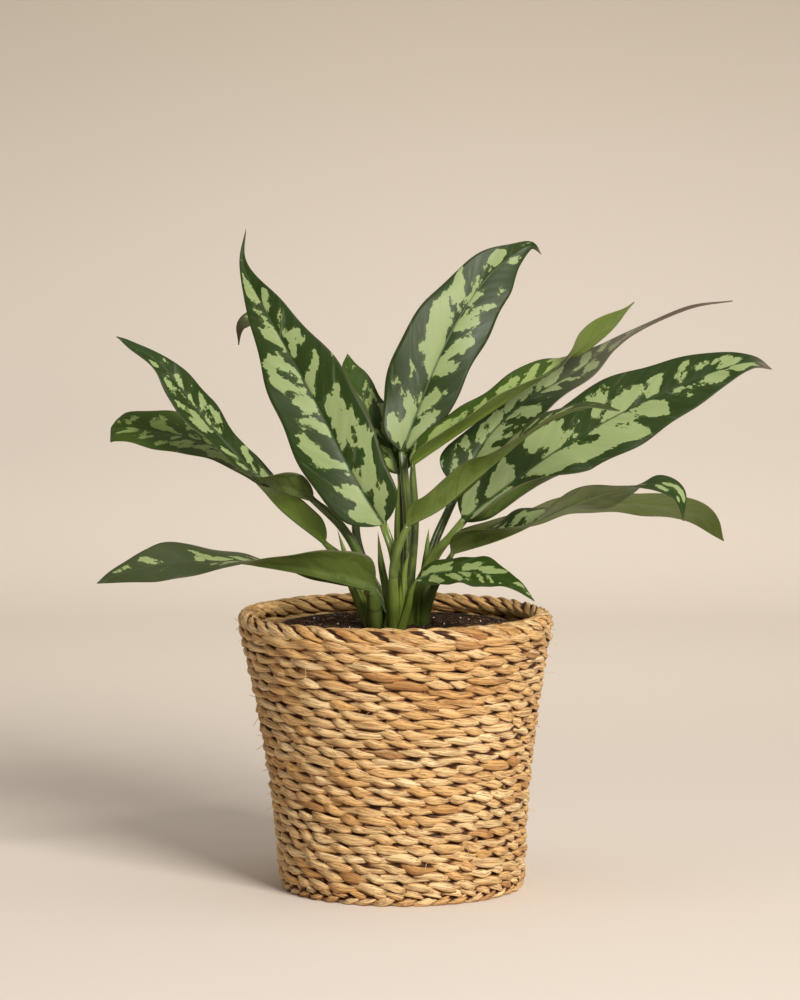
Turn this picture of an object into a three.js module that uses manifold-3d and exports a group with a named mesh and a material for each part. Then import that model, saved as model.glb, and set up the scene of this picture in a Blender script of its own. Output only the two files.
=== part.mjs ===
// A potted aglaonema standing in a woven seagrass basket.
// Millimetres, +Z up. The origin is on the floor under the middle of the basket, +X is to the right
// and -Y is towards the side that is seen from the front.
import * as THREE from 'three';
import { ParametricGeometry } from 'three/addons/geometries/ParametricGeometry.js';
import { mergeVertices } from 'three/addons/utils/BufferGeometryUtils.js';
import Module from 'manifold-3d';

const wasm = await Module();
wasm.setup();

// Driving dimensions of the basket
const RIM_DIAMETER = 180;
const BASKET_HEIGHT = 160;
const FOOT_RADIUS = 70.3;
const FLARE = 0.039;
const BULGE = 0.0006;
const LEAN = -4.3 / BASKET_HEIGHT;
const WALL_THICKNESS = 10;
const WEAVE_ROWS = 25;
const GRAINS_PER_TURN = 28;
const ROW_GROOVE = 2.4;
const GRAIN_DIP = 1.6;
const RIM_ROPE_RADIUS = 5.3;
const RIM_TWISTS = -8;
const FOOT_ROPE_RADIUS = 5.2;
const FOOT_HEIGHT = 9.6;
const FOOT_TWISTS = 7;
const BASE_RADIUS = 59.8;
const BASE_THICKNESS = 5;
const GAP = 0.3;

// Driving dimensions of the nursery pot and its soil
const POT_BOTTOM_RADIUS = 54;
const POT_TOP_RADIUS = 67;
const POT_TOP = 149;
const POT_LIP = 2;
const POT_LIP_DEPTH = 5;
const POT_WALL = 1.2;
const DRAIN_HOLES = 4;
const DRAIN_RADIUS = 4;
const DRAIN_RING_RADIUS = 34;
const SOIL_EDGE_HEIGHT = 146.2;
const SOIL_MOUND = 2;
const SOIL_LUMP = 0.7;
const HOLE_FLOOR = 122;
const HOLE_SIDES = 18;
const POT_SIDES = 36;

// Driving dimensions of the plant
const BLADE_THICKNESS = 0.9;
const BLADE_DROOP = -14;
const RIB_DEPTH = 2.4;
const RIB_HALF_WIDTH = 1.5;
const CANE_TOP = 157;
const TUBE_SIDES = 7;
const STALK_SPACING = 9;
const BLADE_SPACING = 14;

const COLOURS = {
  seagrass: 0xc79a5c,
  seagrassDark: 0xa97c42,
  pot: 0x1b1a19,
  soil: 0x3a2a1e,
  stalk: 0x7f9a52,
  leaf: 0x4b6b33,
};

// The shoots that come out of the soil: place of the cane, its radius, and the young rolled
// leaves and sheath tips that stand free of the leaf stalks, as x, y, z and radius.
const SHOOTS = {
  a: {
    centre: [-17.5, -11],
    radius: 8.8,
    tips: [[[-18, -13, 152, 3], [-26, -16, 176, 2], [-33, -17.5, 195, 1.4], [-37, -18, 208, 0]]],
  },
  b: {
    centre: [-4, -22.5],
    radius: 6.2,
    tips: [
      [[-2, -24, 152, 3], [0, -30, 170, 2.6], [1, -31, 186, 1.8], [4, -31, 197, 0]],
      [[-5, -21, 152, 3], [-8, -19, 168, 2.6], [-12, -19, 188, 2], [-14, -20, 207, 0]],
    ],
  },
  c: {
    centre: [-1, 6],
    radius: 6.2,
    tips: [[[-2, 6, 152, 3], [-3, 7, 190, 2], [-3, 8, 215, 1.5], [-2, 8, 237, 0]]],
  },
  d: {
    centre: [9, -4],
    radius: 6.2,
    tips: [[[10, -3, 152, 3], [12, 2, 178, 2.2], [14, 5, 195, 1.5], [15, 6, 206, 0]]],
  },
};

// The leaves. A stalk is a list of points from the soil to the blade, with its radius at either
// end and the height where it leaves the sheath of its shoot. A row of a blade holds a point of
// the midrib, then the direction that the upper face looks as azimuth (0 is towards the front,
// 90 to the right) and elevation, then the fold of the halves, the half width and the skew
// towards the right-hand half. A wave is the height, count and start of the margin's ripple, and
// a roll is the half that curls over, where it starts and ends along the blade, and its angle.
const LEAVES = {
  leaf_01: {
    shoot: 'b',
    stalk: [[-6, -21, 152], [-4, -25, 174], [-5, -26, 194], [-11, -24, 212]],
    girth: [2.8, 2.3],
    sheath: 184,
    wave: [1.2, 2.5, 0.1],
    blade: [
      [-11, -24, 212, -4, 8, 22, 12, 0.1],
      [-26, -24, 236, -4, 8, 16, 21.5, -0.06],
      [-52, -10, 285, 0, 8, 14, 23, 0],
      [-76, 8, 327, 4, 5, 14, 12, 0],
      [-91, 22, 356, 0, 5, 12, 2.6, 0],
      [-90, 32, 377, 0, 5, 8, 0, 0],
    ],
  },
  leaf_02: {
    shoot: 'c',
    stalk: [[-1, 9, 151], [-1, 19, 186], [0, 23, 209], [-1, 25, 236]],
    girth: [2.6, 2],
    sheath: 188,
    blade: [
      [-1, 25, 236, 25, 5, 15, 8, 0],
      [-7, 30, 251, 25, 5, 15, 12, 0],
      [-19, 38, 269, 25, 5, 12, 12.5, 0],
      [-29, 49, 291, 25, 5, 10, 8, 0],
      [-32, 55, 303, 25, 5, 8, 0, 0],
    ],
  },
  leaf_03: {
    shoot: 'c',
    stalk: [[-3, 5, 151], [-19, 7, 179], [-26, 9, 199], [-27, 12, 222]],
    girth: [2.7, 2.2],
    sheath: 182,
    blade: [
      [-27, 12, 222, 10, 5, 15, 12, 0],
      [-35, 20, 255, 10, 5, 15, 19, 0],
      [-49, 31, 285, 10, 5, 12, 18, 0],
      [-67, 42, 310, 10, 10, 10, 11, 0],
      [-84, 46, 323, 0, 25, 10, 6, 0],
      [-93, 42, 320, -30, 0, 10, 3.5, 0],
      [-95, 38, 309, -60, -20, 10, 0, 0],
    ],
  },
  leaf_04: {
    shoot: 'c',
    stalk: [[1, 6, 151], [3, 10, 187], [3, 14, 210], [0, 18, 249]],
    girth: [2.8, 2.4],
    sheath: 192,
    wave: [1.4, 2.2, 0.3],
    blade: [
      [0, 18, 249, 5, 8, 20, 13, 0],
      [8, 25, 270, 5, 8, 14, 19, -0.12],
      [22, 35, 304, 5, 8, 12, 22.5, -0.13],
      [37, 46, 331, 5, 6, 12, 19.5, 0],
      [51, 56, 349, 5, 4, 10, 15, 0.05],
      [65, 64, 360, 5, 2, 10, 7, 0],
      [75, 68, 365, 5, 0, 8, 2.5, 0],
      [81, 66, 360, 25, 0, 8, 0, 0],
    ],
  },
  leaf_05: {
    shoot: 'c',
    stalk: [[1, 5, 151], [4, 0, 174], [7, -2, 212], [5, 0, 244]],
    girth: [2.6, 2.2],
    sheath: 190,
    blade: [
      [5, 0, 244, 0, 95, 38, 10, 0],
      [31, 7, 261, 0, 92, 38, 17, 0],
      [61, 18, 280, 0, 88, 36, 16, 0.1],
      [85, 28, 295, 0, 82, 30, 14, 0.12],
      [105, 36, 310, 0, 122, 6, 12, 0.3],
      [121, 40, 322, 0, 122, 6, 9.5, 0.2],
      [134, 44, 334, 0, 110, 6, 0, 0],
    ],
  },
  leaf_06: {
    shoot: 'd',
    stalk: [[9, -1, 151], [12, 6, 173], [18, 12, 196], [26, 18, 214], [33, 24, 228]],
    girth: [2.8, 2.2],
    sheath: 184,
    blade: [
      [33, 24, 228, 0, 40, 15, 14, -0.2],
      [41, 32, 243, 0, 45, 15, 17, 0],
      [52, 38, 259, 0, 50, 13, 14, 0.2],
      [73, 46, 277, 0, 55, 12, 14, 0.2],
      [102, 58, 293, 0, 58, 10, 11, 0],
      [120, 66, 306, 0, 76, 10, 7, 0],
      [136, 72, 315, 0, 82, 10, 4.5, 0],
      [168, 80, 328, 0, 82, 10, 3, 0],
      [194, 86, 332, 0, 80, 10, 0, 0],
    ],
  },
  leaf_07: {
    shoot: 'd',
    stalk: [[7, -6, 151], [9, -10, 172], [18, -12, 193], [27, -13, 203], [35, -12, 213]],
    girth: [2.8, 2.3],
    sheath: 180,
    roll: { side: 1, from: -0.15, to: 0.38, angle: 135 },
    blade: [
      [35, -12, 213, 0, 25, 12, 13, -0.1],
      [50, -11, 225, 0, 28, 12, 19, 0.1],
      [89, -8, 253, 0, 30, 10, 21, 0.04],
      [132, -4, 277, 0, 32, 10, 22, 0],
      [176, 0, 296, 0, 34, 10, 13, 0],
      [198, 0, 302, 0, 34, 10, 4.8, 0],
      [211, 0, 298, 0, 34, 10, 0, 0],
    ],
  },
  leaf_08: {
    shoot: 'b',
    stalk: [[-4, -23, 152], [-5, -31, 171], [-5, -34, 189], [-2, -34, 201], [3, -33, 213]],
    girth: [2.7, 2.2],
    sheath: 182,
    blade: [
      [3, -33, 213, 0, 118, 38, 8, 0],
      [21, -40, 223, 0, 118, 38, 12.5, 0],
      [38, -46, 238, 0, 112, 32, 13, 0],
      [55, -52, 253, 0, 88, 22, 15, 0],
      [77, -60, 271, 0, 78, 22, 15, 0],
      [102, -68, 282, 0, 85, 15, 8.5, 0],
      [121, -76, 281, 0, 80, 10, 0, 0],
    ],
  },
  leaf_09: {
    shoot: 'd',
    stalk: [[11, -6, 151], [16, -14, 170], [22, -20, 184], [28, -24, 196]],
    girth: [2.5, 2.1],
    sheath: 176,
    blade: [
      [28, -24, 196, 0, 103, 34, 14, 0],
      [50, -29, 203, 0, 94, 34, 19, 0],
      [66, -34, 210, 0, 78, 30, 20, 0],
      [84, -39, 220, 0, 86, 8, 16, 0],
      [106, -50, 230, 0, 125, 4, 16, 0],
      [125, -57, 236, 0, 105, 4, 12, 0],
      [142, -63, 239, 0, 60, 10, 8, 0],
      [154, -67, 233, 40, 20, 10, 5.5, 0],
      [157, -67, 218, 60, 10, 10, 0, 0],
    ],
  },
  leaf_10: {
    shoot: 'd',
    stalk: [[10, -2, 151], [13, -1, 171], [18, 2, 188], [27, 4, 201]],
    girth: [2.4, 1.9],
    sheath: 186,
    blade: [
      [27, 4, 201, 0, 116, 6, 10, 0],
      [68, 18, 211, 0, 116, 6, 18, 0],
      [103, 30, 217, 0, 116, 8, 19, 0],
      [138, 42, 217, 0, 116, 8, 18, 0],
      [172, 54, 209, 0, 114, 6, 14.5, 0],
      [188, 58, 193, 10, 112, 2, 0, 0],
    ],
  },
  leaf_11: {
    shoot: 'b',
    stalk: [[-1, -24, 152], [3, -31, 166], [5, -35, 176], [8, -36, 182]],
    girth: [2, 1.7],
    sheath: 172,
    blade: [
      [8, -36, 182, 10, 50, 10, 5, 0],
      [24, -42, 187, 10, 50, 10, 10.5, 0],
      [45, -50, 187, 10, 50, 10, 11.5, 0],
      [62, -58, 182, 15, 50, 8, 5, 0],
      [74, -64, 173, 20, 45, 8, 0, 0],
    ],
  },
  leaf_12: {
    shoot: 'a',
    stalk: [[-15, -13, 152], [-16, -23, 165], [-17, -30, 176]],
    girth: [4.6, 3.2],
    sheath: 164,
    blade: [
      [-17, -30, 176, 0, 125, 30, 16, 0],
      [-37, -37, 182, 0, 125, 30, 21, 0],
      [-59, -43, 188, 0, 114, 24, 20, 0],
      [-79, -48, 192, 0, 97, 17, 18, 0],
      [-94, -51, 194, 0, 84, 12, 18, 0],
      [-125, -58, 194, 0, 58, 12, 15.5, 0.1],
      [-141, -61, 192, 0, 45, 10, 11.5, 0],
      [-152, -62, 189.5, 0, 38, 8, 8, 0],
      [-162, -62, 186.5, 0, 34, 6, 4.3, 0],
      [-171.5, -62, 182.5, 0, 30, 4, 0, 0],
    ],
  },
  leaf_13: {
    shoot: 'a',
    stalk: [[-15, -9, 152], [-24, -9, 190], [-34, -10, 208], [-51, -11, 225]],
    girth: [3, 2.4],
    sheath: 178,
    blade: [
      [-51, -11, 225, 0, 130, 30, 10, 0],
      [-66, -11, 230, 0, 118, 26, 14, 0],
      [-82, -8, 238, 0, 85, 20, 12, 0],
      [-99, -5, 254, 5, 65, 14, 9.5, 0],
      [-118, -4, 276, 5, 63, 12, 15, 0],
      [-136, -2, 299, 5, 60, 12, 7.5, 0],
      [-155, 0, 312, 5, 50, 10, 3, 0],
      [-163, 0, 317, 5, 50, 10, 0, 0],
    ],
  },
  leaf_14: {
    shoot: 'a',
    stalk: [[-18, -12, 152], [-27, -13, 173], [-34, -12, 189], [-44, -8, 200]],
    girth: [3, 2.4],
    sheath: 184,
    blade: [
      [-44, -8, 200, 20, 120, 35, 10, 0],
      [-67, -1, 217, 20, 120, 35, 14, 0],
      [-84, 7, 234, 10, 85, 25, 13, 0],
      [-102, 14, 249, 0, 62, 14, 13, 0],
      [-123, 22, 257, 0, 55, 12, 15.5, 0],
      [-146, 30, 261, 0, 50, 10, 15, 0],
      [-161, 36, 262, 0, 50, 8, 13.5, 0],
      [-166, 39, 261, 0, 46, 7, 10.5, 0],
      [-169, 40, 261, 0, 40, 6, 0, 0],
    ],
  },
};

const TURN = 2 * Math.PI;
const { clamp, degToRad, lerp } = THREE.MathUtils;

function named(name, geometry, colour, roughness = 0.7) {
  const material = new THREE.MeshStandardMaterial({ color: colour, roughness, metalness: 0 });
  const mesh = new THREE.Mesh(geometry, material);
  mesh.name = name;
  return mesh;
}

// Only positions are kept, so that vertices which share a place become one.
function welded(geometry) {
  const bare = geometry.clone();
  bare.deleteAttribute('normal');
  bare.deleteAttribute('uv');
  return mergeVertices(bare, 1e-3);
}

function toSolid(geometry) {
  const bare = welded(geometry);
  return new wasm.Manifold(new wasm.Mesh({
    numProp: 3,
    vertProperties: bare.attributes.position.array,
    triVerts: new Uint32Array(bare.index.array),
  }));
}

function toGeometry(solid) {
  const mesh = solid.getMesh();
  const geometry = new THREE.BufferGeometry();
  geometry.setAttribute('position', new THREE.BufferAttribute(mesh.vertProperties, 3));
  geometry.setIndex(new THREE.BufferAttribute(mesh.triVerts, 1));
  geometry.computeVertexNormals();
  return geometry;
}

// A closed skin over rings with equal counts of points. A ring whose points coincide is an end.
// From the place flipFrom on, the quads are cut along the other diagonal, so that the two faces
// of a thin sheet are folded alike.
function loft(rings, flipFrom = Infinity) {
  const count = rings[0].length;
  const positions = rings.flat().flatMap((point) => point.toArray());
  const index = [];
  for (let i = 0; i + 1 < rings.length; i += 1) {
    for (let k = 0; k < count; k += 1) {
      const a = i * count + k;
      const b = i * count + (k + 1) % count;
      const c = b + count;
      const d = a + count;
      index.push(...(k >= flipFrom ? [a, b, d, b, c, d] : [a, b, c, a, c, d]));
    }
  }
  const skin = new THREE.BufferGeometry();
  skin.setAttribute('position', new THREE.Float32BufferAttribute(positions, 3));
  skin.setIndex(index);
  return dropSlivers(mergeVertices(skin, 1e-4));
}

// Triangles that lost a side when their vertices were merged are left out.
function dropSlivers(geometry) {
  const old = geometry.index.array;
  const kept = [];
  for (let i = 0; i < old.length; i += 3) {
    const [a, b, c] = [old[i], old[i + 1], old[i + 2]];
    if (a !== b && b !== c && a !== c) kept.push(a, b, c);
  }
  geometry.setIndex(kept);
  return geometry;
}

// The basket and what stands in it lean a little to one side as they go up.
function leaned(geometry) {
  const position = geometry.attributes.position;
  for (let i = 0; i < position.count; i += 1) {
    position.setX(i, position.getX(i) + LEAN * position.getZ(i));
  }
  return geometry;
}

// A profile of [radius, height] pairs turned around the vertical axis.
function turned(profile, segments) {
  const points = profile.map(([radius, height]) => new THREE.Vector2(radius, height));
  return dropSlivers(welded(new THREE.LatheGeometry(points, segments).rotateX(Math.PI / 2)));
}

function wallRadius(height) {
  return FOOT_RADIUS + FLARE * height + BULGE * height * height;
}

// The section of the wall at one angle: up the woven outside, over the top and down the inside.
// Each row of twining bulges, and its grains alternate with those of the row below.
function wallSection(slice) {
  const bottom = FOOT_HEIGHT + GAP;
  const top = BASKET_HEIGHT - 2 * RIM_ROPE_RADIUS - GAP;
  const pitch = (top - bottom) / WEAVE_ROWS;
  const section = [];
  for (let row = 0; row < WEAVE_ROWS; row += 1) {
    const low = bottom + row * pitch;
    const middle = low + pitch / 2;
    const dip = (slice + row) % 2 === 0 ? 0 : GRAIN_DIP;
    section.push([wallRadius(low) - ROW_GROOVE, low]);
    section.push([wallRadius(middle) - dip, middle]);
  }
  section.push([wallRadius(top) - ROW_GROOVE, top]);
  const innerSteps = 3;
  for (let step = 0; step < innerSteps; step += 1) {
    const height = lerp(top, bottom, step / (innerSteps - 1));
    section.push([wallRadius(height) - WALL_THICKNESS, height]);
  }
  return section;
}

function basketWall() {
  const slices = 2 * GRAINS_PER_TURN;
  const stacks = wallSection(0).length;
  const place = (u, v, target) => {
    const slice = Math.round(u * slices) % slices;
    const [radius, height] = wallSection(slice)[Math.round(v * stacks) % stacks];
    const angle = TURN * slice / slices;
    target.set(radius * Math.cos(angle), radius * Math.sin(angle), height);
  };
  return leaned(dropSlivers(welded(new ParametricGeometry(place, slices, stacks))));
}

// A twisted rope laid in a ring. Its section has ridges that wind along it, and it is cut flat
// where it stands on the floor.
function ropeRing({ radius, ringRadius, height, twists, slices, sides, ridge }) {
  const place = (u, v, target) => {
    const along = TURN * (Math.round(u * slices) % slices) / slices;
    const corner = Math.round(v * sides) % sides;
    const around = TURN * corner / sides + twists * along;
    const reach = radius - (corner % 2) * ridge;
    const out = ringRadius + reach * Math.cos(around);
    const up = Math.max(0, height + reach * Math.sin(around));
    target.set(out * Math.cos(along), out * Math.sin(along), up);
  };
  return leaned(dropSlivers(welded(new ParametricGeometry(place, slices, sides))));
}

function basketRim() {
  return ropeRing({
    radius: RIM_ROPE_RADIUS,
    ringRadius: RIM_DIAMETER / 2 - RIM_ROPE_RADIUS,
    height: BASKET_HEIGHT - RIM_ROPE_RADIUS,
    twists: RIM_TWISTS,
    slices: 80,
    sides: 8,
    ridge: 0.8,
  });
}

function basketFoot() {
  return ropeRing({
    radius: FOOT_ROPE_RADIUS,
    ringRadius: BASE_RADIUS + GAP + FOOT_ROPE_RADIUS,
    height: FOOT_HEIGHT - FOOT_ROPE_RADIUS,
    twists: FOOT_TWISTS,
    slices: 60,
    sides: 8,
    ridge: 0.7,
  });
}

function basketBase() {
  return leaned(turned([
    [0, 0],
    [BASE_RADIUS, 0],
    [BASE_RADIUS, BASE_THICKNESS],
    [0, BASE_THICKNESS],
  ], 38));
}

// A thin tapered pot with a rolled lip and holes in its floor.
function nurseryPot() {
  const floor = BASE_THICKNESS + GAP;
  const lipBottom = POT_TOP - POT_LIP_DEPTH;
  const shell = turned([
    [0, floor],
    [POT_BOTTOM_RADIUS, floor],
    [POT_TOP_RADIUS, lipBottom],
    [POT_TOP_RADIUS + POT_LIP, lipBottom + 1],
    [POT_TOP_RADIUS + POT_LIP, POT_TOP],
    [POT_TOP_RADIUS - POT_WALL, POT_TOP],
    [POT_TOP_RADIUS - POT_WALL, lipBottom],
    [POT_BOTTOM_RADIUS - POT_WALL, floor + POT_WALL],
    [0, floor + POT_WALL],
  ], POT_SIDES);
  let pot = toSolid(shell);
  for (let i = 0; i < DRAIN_HOLES; i += 1) {
    const angle = TURN * (i + 0.5) / DRAIN_HOLES;
    const drill = new THREE.CylinderGeometry(DRAIN_RADIUS, DRAIN_RADIUS, 4 * POT_WALL, 12);
    drill.rotateX(Math.PI / 2);
    drill.translate(DRAIN_RING_RADIUS * Math.cos(angle), DRAIN_RING_RADIUS * Math.sin(angle), floor);
    pot = pot.subtract(toSolid(drill));
  }
  return leaned(toGeometry(pot));
}

function soilHeight(x, y) {
  const edge = POT_TOP_RADIUS - POT_WALL - GAP;
  const mound = SOIL_MOUND * (1 - (x * x + y * y) / (edge * edge));
  const lumps = Math.sin(0.21 * x + 1.3) * Math.cos(0.27 * y - 0.4) + 0.6 * Math.sin(0.45 * (x - y));
  return SOIL_EDGE_HEIGHT + mound + SOIL_LUMP * lumps;
}

// Soil fills the pot up to a lumpy top, with a plain hole for each shoot.
function soilBody() {
  const floor = BASE_THICKNESS + GAP + POT_WALL + GAP;
  const topRadius = POT_TOP_RADIUS - POT_WALL - GAP;
  const rings = [1, 0.78, 0.54, 0.28, 0];
  const block = turned([
    [0, floor],
    [POT_BOTTOM_RADIUS - POT_WALL - GAP, floor],
    [topRadius - 0.4, POT_TOP - POT_LIP_DEPTH - 1],
    ...rings.map((share) => [share * (topRadius - 0.2), SOIL_EDGE_HEIGHT + SOIL_MOUND]),
  ], POT_SIDES);
  const position = block.attributes.position;
  for (let i = 0; i < position.count; i += 1) {
    if (position.getZ(i) > SOIL_EDGE_HEIGHT) {
      position.setZ(i, soilHeight(position.getX(i), position.getY(i)));
    }
  }
  let soil = toSolid(leaned(block));
  for (const shoot of Object.values(SHOOTS)) {
    const depth = CANE_TOP - HOLE_FLOOR;
    const radius = (shoot.radius + GAP) / Math.cos(Math.PI / HOLE_SIDES);
    const hole = new THREE.CylinderGeometry(radius, radius, depth, HOLE_SIDES);
    hole.rotateX(Math.PI / 2);
    hole.translate(shoot.centre[0], shoot.centre[1], HOLE_FLOOR + depth / 2);
    soil = soil.subtract(toSolid(hole));
  }
  return toGeometry(soil);
}

function pathOf(points) {
  return new THREE.CatmullRomCurve3(points.map(([x, y, z]) => new THREE.Vector3(x, y, z)));
}

// Places along a path that rises, found where it passes a height.
function shareAtHeight(path, height) {
  const samples = 200;
  for (let i = 0; i <= samples; i += 1) {
    if (path.getPointAt(i / samples).z >= height) return i / samples;
  }
  return 1;
}

// Rings of a stalk from one share of its path to another. The first frame is carried along
// without twisting.
function stalkRings(path, from, to, steps, girth, angles, firstSide) {
  const rings = [];
  const side = firstSide.clone();
  for (let i = 0; i <= steps; i += 1) {
    const share = lerp(from, to, i / steps);
    const centre = path.getPointAt(share);
    const along = path.getTangentAt(share);
    side.addScaledVector(along, -side.dot(along)).normalize();
    const up = new THREE.Vector3().crossVectors(side, along);
    const radius = lerp(girth[0], girth[1], i / steps);
    rings.push(angles.map((angle) => centre.clone()
      .addScaledVector(side, radius * Math.cos(angle))
      .addScaledVector(up, radius * Math.sin(angle))));
  }
  return rings;
}

function tubeAngles() {
  return Array.from({ length: TUBE_SIDES }, (_, k) => -TURN * k / TUBE_SIDES);
}

function endRing(ring) {
  const middle = new THREE.Vector3();
  ring.forEach((point) => middle.add(point));
  middle.divideScalar(ring.length);
  return ring.map(() => middle.clone());
}

function capped(rings) {
  return [endRing(rings[0]), ...rings, endRing(rings.at(-1))];
}

// A round tube with its own girth at each point, for sheaths and rolled young leaves.
function taperedTube(rows) {
  const steps = 5;
  const path = pathOf(rows);
  const girths = new THREE.CatmullRomCurve3(rows.map((row) => new THREE.Vector3(row[3], 0, 0)));
  const rings = stalkRings(path, 0, 1, steps, [1, 1], tubeAngles(), new THREE.Vector3(1, 0, 0));
  rings.forEach((ring, i) => {
    const centre = path.getPointAt(i / steps);
    const girth = Math.max(0, girths.getPoint(path.getUtoTmapping(i / steps)).x);
    ring.forEach((point) => point.sub(centre).multiplyScalar(girth).add(centre));
  });
  return toSolid(loft(capped(rings)));
}

// A shoot is a short cane in the soil, joined to the sheathed feet of its leaf stalks.
function shootBody(key) {
  const shoot = SHOOTS[key];
  const cane = turned([
    [0, HOLE_FLOOR + GAP],
    [0.7 * shoot.radius, HOLE_FLOOR + GAP],
    [shoot.radius, HOLE_FLOOR + 5],
    [shoot.radius, CANE_TOP - 3],
    [0.6 * shoot.radius, CANE_TOP],
    [0, CANE_TOP],
  ], 16).translate(shoot.centre[0], shoot.centre[1], 0);
  let body = toSolid(cane);
  for (const leaf of Object.values(LEAVES).filter((entry) => entry.shoot === key)) {
    const path = pathOf(leaf.stalk);
    const end = shareAtHeight(path, leaf.sheath) - GAP / 2 / path.getLength();
    const girth = [leaf.girth[0] + 0.8, leaf.girth[0] + 0.3];
    const rings = stalkRings(path, 0, end, 4, girth, tubeAngles(), new THREE.Vector3(1, 0, 0));
    body = body.add(toSolid(loft(capped(rings))));
  }
  for (const tip of shoot.tips) body = body.add(taperedTube(tip));
  return toGeometry(body);
}

// The direction that lies at an azimuth from the front and an elevation.
function facing(azimuth, elevation) {
  const [a, e] = [degToRad(azimuth), degToRad(elevation)];
  return new THREE.Vector3(Math.sin(a) * Math.cos(e), -Math.cos(a) * Math.cos(e), Math.sin(e));
}

// A point of a half blade's section, measured out from the midrib and up from it.
function sectionPoint(frame, out, up) {
  return frame.middle.clone().addScaledVector(frame.side, out).addScaledVector(frame.up, up);
}

// Frame and half width of the blade at a share of its length.
function bladeFrame(leaf, curves, share) {
  const t = curves.spine.getUtoTmapping(share);
  const along = curves.spine.getTangent(t);
  const side = new THREE.Vector3().crossVectors(along, curves.facing.getPoint(t)).normalize();
  const spread = curves.spread.getPoint(t);
  const rounding = Math.sqrt(1 - (1 - Math.min(share / 0.07, 1)) ** 2);
  const [, count, start] = leaf.wave ?? [1, 2.5, 0];
  const ripple = 1 + 0.035 * Math.sin(TURN * (1.7 * count * share + start));
  return {
    middle: curves.spine.getPoint(t),
    side,
    up: new THREE.Vector3().crossVectors(side, along),
    along,
    fold: spread.x,
    half: Math.max(spread.y, 0) * rounding * ripple,
    skew: spread.z,
  };
}

// One half of the section: the bend of its inner and outer strips, and where they end.
function halfSection(leaf, frame, share, widest, hand) {
  const [height, count, start] = leaf.wave ?? [1, 2.5, 0];
  const width = frame.half * (1 + frame.skew * hand);
  const strips = 2;
  const bends = [];
  const ends = [[0, 0]];
  let [out, up] = [0, 0];
  for (let strip = 1; strip <= strips; strip += 1) {
    const v = (strip - 0.5) / strips;
    let bend = frame.fold + BLADE_DROOP * v;
    if (leaf.roll && leaf.roll.side === hand) {
      const reach = clamp((share - leaf.roll.from) / (leaf.roll.to - leaf.roll.from), 0, 1);
      bend += leaf.roll.angle * Math.sin(Math.PI * reach) * clamp((v - 0.35) / 0.4, 0, 1);
    }
    out += width / strips * Math.cos(degToRad(bend));
    up += width / strips * Math.sin(degToRad(bend));
    const edge = strip / strips;
    const phase = count * share + start + (hand > 0 ? 0.27 : 0);
    const lift = height * edge * edge * Math.min(1, frame.half / widest * 1.3) * Math.sin(TURN * phase);
    bends.push(bend);
    ends.push([out, up + lift]);
  }
  return { bends, ends, width };
}

// The closed section of a blade: five points over the upper face from left to right, then seven
// back along the underside, where the midrib stands out as a ridge.
function bladeRing(leaf, curves, share, widest) {
  const frame = bladeFrame(leaf, curves, share);
  const left = halfSection(leaf, frame, share, widest, -1);
  const right = halfSection(leaf, frame, share, widest, 1);
  const top = (half, hand, place) => sectionPoint(frame, hand * half.ends[place][0], half.ends[place][1]);
  const under = (half, hand, place) => {
    const next = half.bends[Math.min(place, 1)];
    const bend = degToRad((half.bends[Math.max(place - 1, 0)] + next) / 2);
    const [out, up] = half.ends[place];
    const thin = BLADE_THICKNESS;
    return sectionPoint(frame, hand * (out + thin * Math.sin(bend)), up - thin * Math.cos(bend));
  };
  const ribHalf = Math.min(RIB_HALF_WIDTH * (1 - 0.6 * share), 0.35 * frame.half);
  const shoulder = (half, hand) => {
    const bend = degToRad(half.bends[0]);
    const out = ribHalf * Math.cos(bend) + BLADE_THICKNESS * Math.sin(bend);
    return sectionPoint(frame, hand * out, ribHalf * Math.sin(bend) - BLADE_THICKNESS * Math.cos(bend));
  };
  const rib = BLADE_THICKNESS + RIB_DEPTH * (1 - share);
  return [
    top(left, -1, 2), top(left, -1, 1), sectionPoint(frame, 0, 0), top(right, 1, 1), top(right, 1, 2),
    under(right, 1, 2), under(right, 1, 1), shoulder(right, 1), sectionPoint(frame, 0, -rib),
    shoulder(left, -1), under(left, -1, 1), under(left, -1, 2),
  ];
}

// A leaf is one skin: its stalk from the sheath up, which flattens into the blade.
function leafBody(leaf) {
  const curves = {
    spine: new THREE.CatmullRomCurve3(
      leaf.blade.map(([x, y, z]) => new THREE.Vector3(x, y, z)), false, 'catmullrom', 0.5),
    facing: new THREE.CatmullRomCurve3(
      leaf.blade.map((row) => facing(row[3], row[4])), false, 'catmullrom', 0.5),
    spread: new THREE.CatmullRomCurve3(
      leaf.blade.map((row) => new THREE.Vector3(row[5], row[6], row[7])), false, 'catmullrom', 0.5),
  };
  const widest = Math.max(...leaf.blade.map((row) => row[6]));
  const stations = Math.max(7, Math.round(curves.spine.getLength() / BLADE_SPACING));
  const blade = [];
  const firstShare = 0.03;
  for (let i = 0; i < stations; i += 1) {
    blade.push(bladeRing(leaf, curves, lerp(firstShare, 1, i / stations), widest));
  }
  const tip = curves.spine.getPoint(1);
  const path = pathOf(leaf.stalk);
  const foot = shareAtHeight(path, leaf.sheath) + GAP / 2 / path.getLength();
  const steps = Math.max(2, Math.round((1 - foot) * path.getLength() / STALK_SPACING));
  const angles = [165, 128, 90, 52, 15, -15, -50, -72, -90, -108, -130, -165].map(degToRad);
  const base = bladeFrame(leaf, curves, 0);
  const rings = stalkRings(path, 1, foot, steps, [leaf.girth[1], leaf.girth[0]], angles, base.side);
  rings.reverse();
  return loft([endRing(rings[0]), ...rings, ...blade, blade[0].map(() => tip.clone())], 5);
}

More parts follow.
